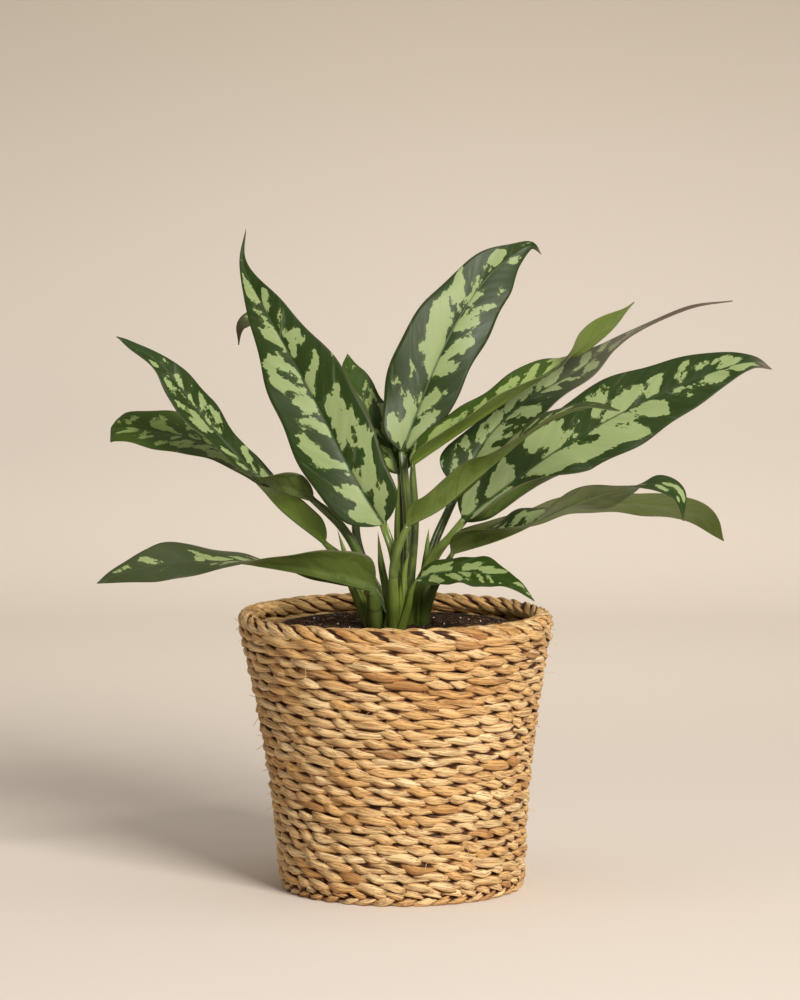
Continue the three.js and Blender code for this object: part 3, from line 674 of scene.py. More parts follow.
# %% Pot plastic
plastic = Finish("pot_plastic", roughness=0.5, specular=0.3)
dust = plastic.place.noise(160.0, detail=5.0, seed=2.0, roughness=0.7)
speckle = plastic.place.noise(1400.0, detail=1.0, seed=6.0)
dusty = (dust + speckle * 0.25).smooth_step(0.6, 0.85, 0.0, 0.55)
plastic.set("Base Color", dusty.blend(colour(17, 16, 15), colour(62, 50, 40)))
plastic.set("Roughness", dust.smooth_step(0.3, 0.7, 0.5, 0.8))
plastic.relief(speckle + dust, 0.2 * MM, 0.4)

# %% Turn the pot
# Corners are (radius, height) in millimetres: from the pot's floor, and for the lip from its top.
POT_FLOOR = 5.3 * MM
POT_TOP = 150.6 * MM
POT_RADIUS = 67 * MM
POT_SEGMENTS = 96
OUTER_FLOOR = [(0.4, 0), (52, 0), (54, 1.5)]
LIP = [(-0.4, -6), (0.2, -4.6), (1.7, -4.3), (2, -3.6), (2, -0.9), (1.6, -0.2), (0.8, 0), (-0.4, -0.1),
       (-1.1, -0.7), (-1.4, -5)]
INNER_FLOOR = [(52.4, 2.4), (51, 1.2), (0.4, 1.2)]


def turned_rings(profile, segments):
    """One ring of points for each (radius, height) corner of a profile."""
    angles = [TURN * i / segments for i in range(segments)]
    return np.array([[(r * math.cos(a) + LEAN * z, r * math.sin(a), z) for a in angles] for r, z in profile])


pot_profile = ([(r * MM, POT_FLOOR + z * MM) for r, z in OUTER_FLOOR]
               + [(POT_RADIUS + r * MM, POT_TOP + z * MM) for r, z in LIP]
               + [(r * MM, POT_FLOOR + z * MM) for r, z in INNER_FLOOR])
pot_piece = add_piece("nursery_pot_detail", *skin_of(turned_rings(pot_profile, POT_SEGMENTS)),
                      [plastic.material])
hand_in(pot_piece, "pot_plastic", "nursery_pot")

# %% [markdown]
# ## The potting soil
# The soil is a dark peat mix with coarse fibres and white perlite. Its body is a turned solid
# whose top follows the same lumpy formula as the fixed model. Crumbs, perlite grains and bark are
# scattered over that top by one recipe, with a rotation, size and stretch of its own for each.

# %% Soil finishes
peat = Finish("potting_soil", roughness=0.95, specular=0.2)
clods = peat.place.noise(420.0, detail=6.0, seed=1.0, roughness=0.75)
specks = peat.place.noise(1500.0, detail=2.0, seed=9.0)
earth = clods.smooth_step(0.35, 0.7).blend(colour(34, 24, 18), colour(88, 64, 46))
pale_specks = specks.smooth_step(0.7, 0.78, 0.0, 0.8)
peat.set("Base Color", pale_specks.blend(earth, colour(190, 176, 158)))
peat.relief(clods + specks * 0.3, 1.2 * MM, 1.0)

perlite = Finish("perlite", roughness=0.85, specular=0.3)
pits = perlite.place.noise(1800.0, detail=3.0, seed=5.0)
perlite.set("Base Color", pits.smooth_step(0.35, 0.65).blend(colour(176, 158, 138), colour(236, 230, 218)))
perlite.relief(pits, 0.3 * MM, 0.8)

bark = Finish("bark", roughness=0.8, specular=0.3)
grainy = bark.place.noise(700.0, detail=4.0, seed=12.0)
bark.set("Base Color", grainy.blend(colour(58, 36, 22), colour(150, 104, 66)))
bark.relief(grainy, 0.4 * MM, 0.9)

# %% Shape the soil
SOIL_EDGE = 149.6
SOIL_TOP_RADIUS = 65.4
SOIL_FOOT_RADIUS = 52.2
SOIL_FLOOR = 7.0
SOIL_RINGS = 40
SOIL_SEGMENTS = 144
SMALLEST_RING = 0.3
CRUMBS = 0.45


def soil_height(x, y):
    """The lumpy top, by the formula of the fixed model; x, y and the result in millimetres."""
    mound = 2 * (1 - (x * x + y * y) / 65.5 ** 2)
    lumps = math.sin(0.21 * x + 1.3) * math.cos(0.27 * y - 0.4) + 0.6 * math.sin(0.45 * (x - y))
    return SOIL_EDGE + mound + 0.7 * lumps


def soil_body():
    """A closed body: the top in rings from the middle out, then down the pot's wall to its floor."""
    rng = np.random.default_rng(21)
    angles = [TURN * i / SOIL_SEGMENTS for i in range(SOIL_SEGMENTS)]
    points = []
    for ring in range(SOIL_RINGS + 1):
        reach = max(SMALLEST_RING, SOIL_TOP_RADIUS * ring / SOIL_RINGS)
        for a in angles:
            x, y = reach * math.cos(a), reach * math.sin(a)
            crumbs = 0 if ring == SOIL_RINGS else rng.uniform(-CRUMBS, CRUMBS)
            z = soil_height(x, y) + crumbs
            points.append((x + LEAN * z, y, z))
    top = np.array(points).reshape(-1, SOIL_SEGMENTS, 3)
    below = turned_rings([(SOIL_TOP_RADIUS - 0.4, 140.0), (SOIL_FOOT_RADIUS, SOIL_FLOOR),
                          (SMALLEST_RING, SOIL_FLOOR)], SOIL_SEGMENTS)
    vertices, (*sides, first, last) = skin_of(np.concatenate([top, below]) * MM)
    outward = [first[::-1]] + [(a, d, c, b) for a, b, c, d in sides] + [last[::-1]]
    return vertices, outward


soil_piece = add_piece("soil_top", *soil_body(), [peat.material])
hand_in(soil_piece, "potting_soil", "soil")

# %% The scattering recipe
TOP_STARTS = 143 * MM
scatter = Recipe("scattered_bits", bits_per_square_metre=1000.0, smallest=0.4 * MM, largest=1.6 * MM,
                 stretch=1.0, lift=0.0, facets=1, seed=31)
size = scatter.size
normal = scatter.add("GeometryNodeInputNormal")
_, _, facing_up = normal.split()
_, _, height = scatter.here().split()
on_top = facing_up.math("GREATER_THAN", 0.3) * height.math("GREATER_THAN", TOP_STARTS)
places = scatter.add("GeometryNodeDistributePointsOnFaces", {
    "Mesh": size("Geometry"), "Selection": on_top, "Density": size("bits_per_square_metre"),
    "Seed": size("seed")}).move(Offset=scatter.combine(0.0, 0.0, size("lift")))
bump = (scatter.here().noise(1.3, detail=2.0, seed=4.0) - 0.5) * 1.5
bit = scatter.add("GeometryNodeMeshIcoSphere", {"Radius": 1.0, "Subdivisions": size("facets")})
bit = bit.move(Offset=normal.vector_math("MULTIPLY", scatter.combine(bump, bump, bump)))
tumbled = scatter.random((0.0, 0.0, 0.0), (TURN, TURN, TURN), Seed=1)
lying = scatter.random((-0.4, -0.3, 0.0), (0.4, 0.3, TURN), Seed=1)
is_long = size("stretch").math("GREATER_THAN", 2.0)
turned_bits = scatter.add("ShaderNodeMix", {0: is_long, 4: tumbled, 5: lying}, output=1, data_type="VECTOR")
width = scatter.random(size("smallest"), size("largest"), Seed=2)
scatter.finish(scatter.add("GeometryNodeInstanceOnPoints", {
    "Points": places, "Instance": bit, "Rotation": turned_bits,
    "Scale": scatter.combine(width * size("stretch"), width, width * scatter.random(0.55, 1.0, Seed=3))}))

# %% Scatter crumbs, perlite and bark
follow(scatter, "soil_crumbs", peat.material, "potting_soil", start=soil_piece, seed=31,
       bits_per_square_metre=190000.0, smallest=0.35 * MM, largest=1.3 * MM)
follow(scatter, "perlite_grains", perlite.material, "potting_soil", start=soil_piece, seed=47,
       bits_per_square_metre=7600.0, smallest=0.2 * MM, largest=0.8 * MM, lift=0.2 * MM, facets=2)
follow(scatter, "bark_bits", bark.material, "potting_soil", start=soil_piece, seed=53,
       bits_per_square_metre=8200.0, smallest=0.3 * MM, largest=0.8 * MM, stretch=5.0, lift=0.3 * MM)

# %% [markdown]
# ## The plant
# Four shoots carry fourteen leaves. The tables below are the ones that the fixed model was built
# from, in millimetres. A leaf has a stalk, given by points, and a blade, given by rows: a point of
# the midrib, the direction that the upper face looks (azimuth and elevation in degrees), the fold
# of the two halves, the half width and the skew towards the right-hand half. The girth is the
# stalk's radius at its foot and at the blade, and the sheath is the height where it ends.

# %% Table of shoots
SHOOTS = {
    "a": dict(centre=(-17.5, -11), radius=8.8, tips=[
        [(-18, -13, 152, 3), (-26, -16, 176, 2), (-33, -17.5, 195, 1.4), (-37, -18, 208, 0)]]),
    "b": dict(centre=(-4, -22.5), radius=6.2, tips=[
        [(-2, -24, 152, 3), (0, -30, 170, 2.6), (1, -31, 186, 1.8), (4, -31, 197, 0)],
        [(-5, -21, 152, 3), (-8, -19, 168, 2.6), (-12, -19, 188, 2), (-14, -20, 207, 0)]]),
    "c": dict(centre=(-1, 6), radius=6.2, tips=[
        [(-2, 6, 152, 3), (-3, 7, 190, 2), (-3, 8, 215, 1.5), (-2, 8, 237, 0)]]),
    "d": dict(centre=(9, -4), radius=6.2, tips=[
        [(10, -3, 152, 3), (12, 2, 178, 2.2), (14, 5, 195, 1.5), (15, 6, 206, 0)]]),
}
print(len(SHOOTS), "shoots, with", sum(len(shoot["tips"]) for shoot in SHOOTS.values()), "young tips")

# %% Table of leaves
LEAVES = {
    "leaf_01": dict(shoot="b", girth=(2.8, 2.3), sheath=184, wave=(1.2, 2.5, 0.1),
        stalk=[(-6, -21, 152), (-4, -25, 174), (-5, -26, 194), (-11, -24, 212)],
        blade=[(-11, -24, 212, -4, 8, 22, 12, 0.1), (-26, -24, 236, -4, 8, 16, 21.5, -0.06),
               (-52, -10, 285, 0, 8, 14, 23, 0), (-76, 8, 327, 4, 5, 14, 12, 0),
               (-91, 22, 356, 0, 5, 12, 2.6, 0), (-90, 32, 377, 0, 5, 8, 0, 0)]),
    "leaf_02": dict(shoot="c", girth=(2.6, 2), sheath=188,
        stalk=[(-1, 9, 151), (-1, 19, 186), (0, 23, 209), (-1, 25, 236)],
        blade=[(-1, 25, 236, 25, 5, 15, 8, 0), (-7, 30, 251, 25, 5, 15, 12, 0),
               (-19, 38, 269, 25, 5, 12, 12.5, 0), (-29, 49, 291, 25, 5, 10, 8, 0),
               (-32, 55, 303, 25, 5, 8, 0, 0)]),
    "leaf_03": dict(shoot="c", girth=(2.7, 2.2), sheath=182,
        stalk=[(-3, 5, 151), (-19, 7, 179), (-26, 9, 199), (-27, 12, 222)],
        blade=[(-27, 12, 222, 10, 5, 15, 12, 0), (-35, 20, 255, 10, 5, 15, 19, 0),
               (-49, 31, 285, 10, 5, 12, 18, 0), (-67, 42, 310, 10, 10, 10, 11, 0),
               (-84, 46, 323, 0, 25, 10, 6, 0), (-93, 42, 320, -30, 0, 10, 3.5, 0),
               (-95, 38, 309, -60, -20, 10, 0, 0)]),
    "leaf_04": dict(shoot="c", girth=(2.8, 2.4), sheath=192, wave=(1.4, 2.2, 0.3),
        stalk=[(1, 6, 151), (3, 10, 187), (3, 14, 210), (0, 18, 249)],
        blade=[(0, 18, 249, 5, 8, 20, 13, 0), (8, 25, 270, 5, 8, 14, 19, -0.12),
               (22, 35, 304, 5, 8, 12, 22.5, -0.13), (37, 46, 331, 5, 6, 12, 19.5, 0),
               (51, 56, 349, 5, 4, 10, 15, 0.05), (65, 64, 360, 5, 2, 10, 7, 0),
               (75, 68, 365, 5, 0, 8, 2.5, 0), (81, 66, 360, 25, 0, 8, 0, 0)]),
    "leaf_05": dict(shoot="c", girth=(2.6, 2.2), sheath=190,
        stalk=[(1, 5, 151), (4, 0, 174), (7, -2, 212), (5, 0, 244)],
        blade=[(5, 0, 244, 0, 95, 38, 10, 0), (31, 7, 261, 0, 92, 38, 17, 0),
               (61, 18, 280, 0, 88, 36, 16, 0.1), (85, 28, 295, 0, 82, 30, 14, 0.12),
               (105, 36, 310, 0, 122, 6, 12, 0.3), (121, 40, 322, 0, 122, 6, 9.5, 0.2),
               (134, 44, 334, 0, 110, 6, 0, 0)]),
    "leaf_06": dict(shoot="d", girth=(2.8, 2.2), sheath=184,
        stalk=[(9, -1, 151), (12, 6, 173), (18, 12, 196), (26, 18, 214), (33, 24, 228)],
        blade=[(33, 24, 228, 0, 40, 15, 14, -0.2), (41, 32, 243, 0, 45, 15, 17, 0),
               (52, 38, 259, 0, 50, 13, 14, 0.2), (73, 46, 277, 0, 55, 12, 14, 0.2),
               (102, 58, 293, 0, 58, 10, 11, 0), (120, 66, 306, 0, 76, 10, 7, 0),
               (136, 72, 315, 0, 82, 10, 4.5, 0), (168, 80, 328, 0, 82, 10, 3, 0),
               (194, 86, 332, 0, 80, 10, 0, 0)]),
    "leaf_07": dict(shoot="d", girth=(2.8, 2.3), sheath=180,
        roll=dict(side=1, start=-0.15, end=0.38, angle=135),
        stalk=[(7, -6, 151), (9, -10, 172), (18, -12, 193), (27, -13, 203), (35, -12, 213)],
        blade=[(35, -12, 213, 0, 25, 12, 13, -0.1), (50, -11, 225, 0, 28, 12, 19, 0.1),
               (89, -8, 253, 0, 30, 10, 21, 0.04), (132, -4, 277, 0, 32, 10, 22, 0),
               (176, 0, 296, 0, 34, 10, 13, 0), (198, 0, 302, 0, 34, 10, 4.8, 0),
               (211, 0, 298, 0, 34, 10, 0, 0)]),
    "leaf_08": dict(shoot="b", girth=(2.7, 2.2), sheath=182,
        stalk=[(-4, -23, 152), (-5, -31, 171), (-5, -34, 189), (-2, -34, 201), (3, -33, 213)],
        blade=[(3, -33, 213, 0, 118, 38, 8, 0), (21, -40, 223, 0, 118, 38, 12.5, 0),
               (38, -46, 238, 0, 112, 32, 13, 0), (55, -52, 253, 0, 88, 22, 15, 0),
               (77, -60, 271, 0, 78, 22, 15, 0), (102, -68, 282, 0, 85, 15, 8.5, 0),
               (121, -76, 281, 0, 80, 10, 0, 0)]),
    "leaf_09": dict(shoot="d", girth=(2.5, 2.1), sheath=176,
        stalk=[(11, -6, 151), (16, -14, 170), (22, -20, 184), (28, -24, 196)],
        blade=[(28, -24, 196, 0, 103, 34, 14, 0), (50, -29, 203, 0, 94, 34, 19, 0),
               (66, -34, 210, 0, 78, 30, 20, 0), (84, -39, 220, 0, 86, 8, 16, 0),
               (106, -50, 230, 0, 125, 4, 16, 0), (125, -57, 236, 0, 105, 4, 12, 0),
               (142, -63, 239, 0, 60, 10, 8, 0), (154, -67, 233, 40, 20, 10, 5.5, 0),
               (157, -67, 218, 60, 10, 10, 0, 0)]),
    "leaf_10": dict(shoot="d", girth=(2.4, 1.9), sheath=186,
        stalk=[(10, -2, 151), (13, -1, 171), (18, 2, 188), (27, 4, 201)],
        blade=[(27, 4, 201, 0, 116, 6, 10, 0), (68, 18, 211, 0, 116, 6, 18, 0),
               (103, 30, 217, 0, 116, 8, 19, 0), (138, 42, 217, 0, 116, 8, 18, 0),
               (172, 54, 209, 0, 114, 6, 14.5, 0), (188, 58, 193, 10, 112, 2, 0, 0)]),
    "leaf_11": dict(shoot="b", girth=(2, 1.7), sheath=172,
        stalk=[(-1, -24, 152), (3, -31, 166), (5, -35, 176), (8, -36, 182)],
        blade=[(8, -36, 182, 10, 50, 10, 5, 0), (24, -42, 187, 10, 50, 10, 10.5, 0),
               (45, -50, 187, 10, 50, 10, 11.5, 0), (62, -58, 182, 15, 50, 8, 5, 0),
               (74, -64, 173, 20, 45, 8, 0, 0)]),
    "leaf_12": dict(shoot="a", girth=(4.6, 3.2), sheath=164,
        stalk=[(-15, -13, 152), (-16, -23, 165), (-17, -30, 176)],
        blade=[(-17, -30, 176, 0, 125, 30, 16, 0), (-37, -37, 182, 0, 125, 30, 21, 0),
               (-59, -43, 188, 0, 114, 24, 20, 0), (-79, -48, 192, 0, 97, 17, 18, 0),
               (-94, -51, 194, 0, 84, 12, 18, 0), (-125, -58, 194, 0, 58, 12, 15.5, 0.1),
               (-141, -61, 192, 0, 45, 10, 11.5, 0), (-152, -62, 189.5, 0, 38, 8, 8, 0),
               (-162, -62, 186.5, 0, 34, 6, 4.3, 0), (-171.5, -62, 182.5, 0, 30, 4, 0, 0)]),
    "leaf_13": dict(shoot="a", girth=(3, 2.4), sheath=178,
        stalk=[(-15, -9, 152), (-24, -9, 190), (-34, -10, 208), (-51, -11, 225)],
        blade=[(-51, -11, 225, 0, 130, 30, 10, 0), (-66, -11, 230, 0, 118, 26, 14, 0),
               (-82, -8, 238, 0, 85, 20, 12, 0), (-99, -5, 254, 5, 65, 14, 9.5, 0),
               (-118, -4, 276, 5, 63, 12, 15, 0), (-136, -2, 299, 5, 60, 12, 7.5, 0),
               (-155, 0, 312, 5, 50, 10, 3, 0), (-163, 0, 317, 5, 50, 10, 0, 0)]),
    "leaf_14": dict(shoot="a", girth=(3, 2.4), sheath=184,
        stalk=[(-18, -12, 152), (-27, -13, 173), (-34, -12, 189), (-44, -8, 200)],
        blade=[(-44, -8, 200, 20, 120, 35, 10, 0), (-67, -1, 217, 20, 120, 35, 14, 0),
               (-84, 7, 234, 10, 85, 25, 13, 0), (-102, 14, 249, 0, 62, 14, 13, 0),
               (-123, 22, 257, 0, 55, 12, 15.5, 0), (-146, 30, 261, 0, 50, 10, 15, 0),
               (-161, 36, 262, 0, 50, 8, 13.5, 0), (-166, 39, 261, 0, 46, 7, 10.5, 0),
               (-169, 40, 261, 0, 40, 6, 0, 0)]),
}
print(len(LEAVES), "leaves")

# %% [markdown]
# ### Smooth curves through the rows
# The fixed model runs smooth curves through the rows, and the fine leaf has to follow the same
# curves to stand in the same place. Blades use a curve with even steps between the points, and
# stalks one whose steps grow with the distance, which avoids bulges between points that are close.

# %% Curves through points
def neighbours(rows, share):
    """The four rows around a share of the curve, and the place between the middle two."""
    rows = np.asarray(rows, float)
    spans = len(rows) - 1
    held = np.vstack([2 * rows[0] - rows[1], rows, 2 * rows[-1] - rows[-2]])
    place = np.clip(np.atleast_1d(share), 0, 1) * spans
    first = np.minimum(place.astype(int), spans - 1)
    return [held[first + k] for k in range(4)], (place - first)[:, None]


def cubic(before, after, slope_before, slope_after, w):
    """The cubic between two values with given slopes."""
    curve = (2 * before - 2 * after + slope_before + slope_after) * w ** 3
    bend = (-3 * before + 3 * after - 2 * slope_before - slope_after) * w ** 2
    return curve + bend + slope_before * w + before


def even_curve(rows, share):
    (p0, p1, p2, p3), w = neighbours(rows, share)
    return cubic(p1, p2, (p2 - p0) / 2, (p3 - p1) / 2, w)


def spaced_curve(rows, share):
    points, w = neighbours(rows, share)
    p0, p1, p2, p3 = points
    d0, d1, d2 = (np.sqrt(np.linalg.norm(b - a, axis=1, keepdims=True)) for a, b in zip(points, points[1:]))
    slope_1 = ((p1 - p0) / d0 - (p2 - p0) / (d0 + d1) + (p2 - p1) / d1) * d1
    slope_2 = ((p2 - p1) / d1 - (p3 - p1) / (d1 + d2) + (p3 - p2) / d2) * d1
    return cubic(p1, p2, slope_1, slope_2, w)


# %% Lengths and directions along a curve
def by_length(curve, rows, share=1.0):
    """Turns shares of a curve's length into shares of its rows, and gives the length."""
    steps = np.linspace(0, 1, 201)
    points = curve(rows, steps)
    walked = np.concatenate([[0], np.cumsum(np.linalg.norm(np.diff(points, axis=0), axis=1))])
    return np.interp(np.asarray(share) * walked[-1], walked, steps), walked[-1]


def unit(vectors):
    return vectors / np.linalg.norm(vectors, axis=-1, keepdims=True)


def direction(curve, rows, t):
    reach = 1e-4
    return unit(curve(rows, np.clip(t + reach, 0, 1)) - curve(rows, np.clip(t - reach, 0, 1)))


print(f"the stalk of leaf_01 is {by_length(spaced_curve, LEAVES['leaf_01']['stalk'])[1]:.0f} mm long")

# %% Rings along a path
def carried_frames(rows, t, first_side):
    """Places, sides, ups and directions along a path, carried from the first without twisting."""
    along = direction(spaced_curve, rows, t)
    sides = []
    side = np.asarray(first_side, float)
    for forward in along:
        side = unit(side - np.dot(side, forward) * forward)
        sides.append(side)
    return spaced_curve(rows, t), np.array(sides), np.cross(sides, along)


def rings_on(frames, out, rise):
    """Points beside and above each place of a path, a ring of them for each place."""
    middle, side, up = frames
    return middle[:, None] + side[:, None] * out[..., None] + up[:, None] * rise[..., None]


def fields(*values):
    """Three values for each point of some rings."""
    return np.stack(np.broadcast_arrays(*values), axis=-1).reshape(-1, 3)


# %% [markdown]
# ### One leaf
# A leaf is one closed skin. Its rings start at the sheath as a round stalk with a channel on the
# upper side, and flatten into the blade, whose ring runs over the upper face from the left margin
# to the right one and back along the underside, where the midrib stands out. The halves fold up
# from the midrib, droop towards the margin and ripple along it. Between the side veins the real
# blade is quilted, so a small relief follows the veins, which leave the midrib at a slant and
# curve towards the tip.

# %% Sizes of a blade's section
DROOP = -14
BLADE_THICKNESS = 0.7
VEIN_SPACING = 8.5
VEIN_SLANT = 1.05
VEIN_CURVE = 0.022
QUILT = 0.1
STATION_SPACING = 1.6
FIRST_STATIONS = [0.0015, 0.004, 0.008, 0.014, 0.021, 0.03, 0.04, 0.05]
LAST_STATION = 0.998
HALF_STRIPS = 13
strip_places = np.linspace(0, 1, HALF_STRIPS + 1) ** 1.15
strip_places[1] = 0.035


def vein_place(along, across):
    """Where the side vein that passes a point leaves the midrib, in millimetres along it."""
    return along - across * VEIN_SLANT - across * across * VEIN_CURVE


# %% The frame of a blade at its stations
NO_WAVE = (1, 2.5, 0)


def looks_to(azimuth, elevation):
    a, e = math.radians(azimuth), math.radians(elevation)
    return (math.sin(a) * math.cos(e), -math.cos(a) * math.cos(e), math.sin(e))


def blade_frames(leaf, shares):
    """Places, sides and ups along the midrib, and the blade's spread and length there."""
    rows = np.array(leaf["blade"], float)
    rows, spread = rows[:, :3], rows[:, 5:]
    looks = [looks_to(row[3], row[4]) for row in leaf["blade"]]
    t, length = by_length(even_curve, rows, shares)
    along = direction(even_curve, rows, t)
    side = unit(np.cross(along, even_curve(looks, t)))
    fold, half, skew = even_curve(spread, t).T[..., None]
    rounding = np.sqrt(1 - (1 - np.minimum(shares / 0.07, 1)) ** 2)
    _, count, start = leaf.get("wave", NO_WAVE)
    ripple = 1 + 0.035 * np.sin(TURN * (1.7 * count * shares + start))
    half = np.maximum(half, 0) * rounding[:, None] * ripple[:, None]
    return (even_curve(rows, t), side, np.cross(side, along)), (fold, half, skew), length


for name, leaf in LEAVES.items():
    _, (_, half, _), length = blade_frames(leaf, np.linspace(0.05, 0.95, 91))
    print(f"{name}: blade {length:.0f} by {2 * half.max():.0f} mm")

# %% One half of a blade
def half_section(leaf, share, spread, length, hand, seed):
    """Out, up, bend, across and place of every station and strip of one half, in millimetres."""
    height, count, start = leaf.get("wave", NO_WAVE)
    fold, half, skew = spread
    width = half * (1 + skew * hand)
    v = strip_places[None, :]
    middle = (v[:, 1:] + v[:, :-1]) / 2
    bend = fold + DROOP * middle
    roll = leaf.get("roll")
    if roll and roll["side"] == hand:
        reach = np.clip((share - roll["start"]) / (roll["end"] - roll["start"]), 0, 1)
        bend = bend + roll["angle"] * np.sin(math.pi * reach) * np.clip((middle - 0.35) / 0.4, 0, 1)
    bend = np.radians(bend)
    nothing = np.zeros((len(share), 1))
    out, up = (np.hstack([nothing, np.cumsum(width * np.diff(v, axis=1) * turn(bend), axis=1)])
               for turn in (np.cos, np.sin))
    widest = max(row[6] for row in leaf["blade"])
    fullness = np.minimum(1, half / widest * 1.3)
    right = hand > 0
    phase = count * share + start + 0.27 * right
    lift = height * v ** 2 * fullness * np.sin(TURN * phase)
    lift = lift + 0.35 * v ** 4 * fullness * np.sin(TURN * (2.3 * phase + seed))
    across = width * v
    place = vein_place(share * length, across) / VEIN_SPACING + seed + 0.5 * right
    quilt = QUILT * (np.abs(np.sin(math.pi * place)) ** 0.6 - 0.6) * np.clip(across / 3, 0, 1) * (1 - v ** 3)
    return out, up + lift + quilt, np.hstack([bend, bend[:, -1:]]), across * hand, v * hand + 0 * share


# %% The rings of a blade
def around(over_left, over_right, under_left, under_right):
    """One ring: over the upper face from left to right, and back along the underside."""
    return np.hstack([over_left[:, :0:-1], over_right, under_right[:, ::-1], under_left[:, 1:]])


def blade_rings(leaf, share, frames, spread, length, seed):
    """Points, and their places across in millimetres and as shares, ring by ring."""
    stem = leaf["girth"][1]
    rib_depth = (stem * 0.95) * (1 - share) ** 0.8 + 0.15
    rib_half = stem * 0.9 * (1 - share) ** 0.7 + 0.3
    tops, unders, across, edge = [], [], [], []
    for hand in (-1, 1):
        out, up, bend, place, v = half_section(leaf, share, spread, length, hand, seed)
        groove = 0.45 * np.exp(-(place / 0.8) ** 2) * (1 - share)
        thick = BLADE_THICKNESS * (1 - 0.55 * np.abs(v) ** 5)
        rib = rib_depth * np.sqrt(np.clip(1 - (place / rib_half) ** 2, 0, 1))
        tops.append(rings_on(frames, hand * out, up - groove))
        unders.append(rings_on(frames, hand * (out + thick * np.sin(bend)),
                               up - np.maximum(thick, rib) * np.cos(bend)))
        across.append(place)
        edge.append(v)
    return around(*tops, *unders), around(*across, *across), around(*edge, *edge)


print("a ring of a blade has", 4 * HALF_STRIPS + 2, "points")


# %% Where a sheath ends
def share_at_height(rows, height):
    shares = np.linspace(0, 1, 201)
    heights = spaced_curve(rows, by_length(spaced_curve, rows, shares)[0])[:, 2]
    return shares[np.argmax(heights >= height)]


for name, leaf in LEAVES.items():
    print(f"{name}: its sheath ends at {share_at_height(leaf['stalk'], leaf['sheath']):.2f} of its stalk")


# %% The rings of a stalk
CHANNEL_OPENS = 9
PAST_THE_JOINT = np.array([0.5, 2.5])
TUCKED = np.array([0.95, 0.8])


def stalk_rings(leaf, base_side, corners):
    """Rings from the blade down into the sheath. The channel on the upper side opens into the blade."""
    foot = share_at_height(leaf["stalk"], leaf["sheath"])
    _, length = by_length(spaced_curve, leaf["stalk"])
    steps = max(6, int((1 - foot) * length / 2.5))
    shares = np.concatenate([np.linspace(1.0, foot, steps), foot - PAST_THE_JOINT / length])
    t, _ = by_length(spaced_curve, leaf["stalk"], shares)
    low, high = leaf["girth"]
    radius = np.concatenate([high + (low - high) * np.linspace(0, 1, steps), low * TUCKED])
    channel = 1 - 0.34 * np.exp(-((np.degrees(corners) - 90) / 32) ** 2)
    reach = radius[:, None] * channel[None]
    along = (shares - 1) * length
    rise = reach * np.sin(corners)
    rise = np.where(rise > 0, rise * np.clip(-along[:, None] / CHANNEL_OPENS, 0.08, 1), rise)
    rings = rings_on(carried_frames(leaf["stalk"], t, base_side), reach * np.cos(corners), rise)
    return rings[::-1], along[::-1, None]


# %% Join stalk and blade
UPPER, UNDER, STALK = range(3)


def leaf_skin(leaf, seed):
    """All of a leaf: its skin, what its finishes read, and which faces are blade, underside or stalk."""
    _, length = by_length(even_curve, [row[:3] for row in leaf["blade"]])
    shares = np.linspace(0.06, 1, int(length / STATION_SPACING))[:-1]
    shares = np.concatenate([FIRST_STATIONS, shares, [LAST_STATION]])
    share = shares[:, None]
    frames, spread, length = blade_frames(leaf, shares)
    blade, across, edge = blade_rings(leaf, share, frames, spread, length, seed)
    count = blade.shape[1]
    top_count = 2 * HALF_STRIPS + 1
    corners = np.radians(np.concatenate([np.linspace(165, 15, top_count),
                                         np.linspace(-8, -172, count - top_count)]))
    stalk, along = stalk_rings(leaf, frames[1][0], corners)
    rings = np.concatenate([stalk, blade])
    place = np.concatenate([fields(along, np.cos(corners) * leaf["girth"][1], seed),
                            fields(share * length, across, seed)])
    share = np.concatenate([fields(0 * along, np.cos(corners), np.sin(corners)),
                            fields(share, edge, np.sin(corners))])
    row, column = np.divmod(np.arange((len(rings) - 1) * count), count)
    face_slots = np.where(row < len(stalk) - 1, STALK, np.where(column < top_count - 1, UPPER, UNDER))
    return *skin_of(rings), [*face_slots, STALK, UNDER], place, share

# %% [markdown]
# ### Variegation
# The pattern of this plant is made of pale feathered patches on dark green. Each patch starts near
# the midrib and leans out and forwards like the side veins, with a ragged edge and small islands.
# So the effect measures where a point lies in a grid that slants like the veins, draws soft noise
# on that grid, roughens it with finer noise, and cuts it off at a level. The margin, the midrib
# and the tip stay dark. It reads `leaf_place` (millimetres along and across the blade, and the
# leaf's own seed) and `leaf_share` (the same as shares of the leaf). `leaf_pattern` holds the size
# of the patches and how much more than usual they cover, and `leaf_light_and_age` how much painted
# light shines through a leaf, where its dry tip starts and how much painted grey sheen lies over it.

# %% Variegation effect
PATCH_SLANT = 0.9
VARIEGATION = Effect("variegation", ("Pale", "Middle", "Vein", "Midrib", "Cloud"), Place=(0, 0, 0),
                     Share=(0, 0, 0), Size=1.0, Cover=0.0)
along, across, seed = VARIEGATION.taken("Place").split()
share_along, share_across, _ = VARIEGATION.taken("Share").split()
distance = abs(across)
right_hand = across.math("GREATER_THAN", 0.0)
own = seed * 37.0 + right_hand * 5.3
size = VARIEGATION.taken("Size")


def leaf_noise(x, y, w, **quality):
    return VARIEGATION.combine(x, y, w).noise(**quality)


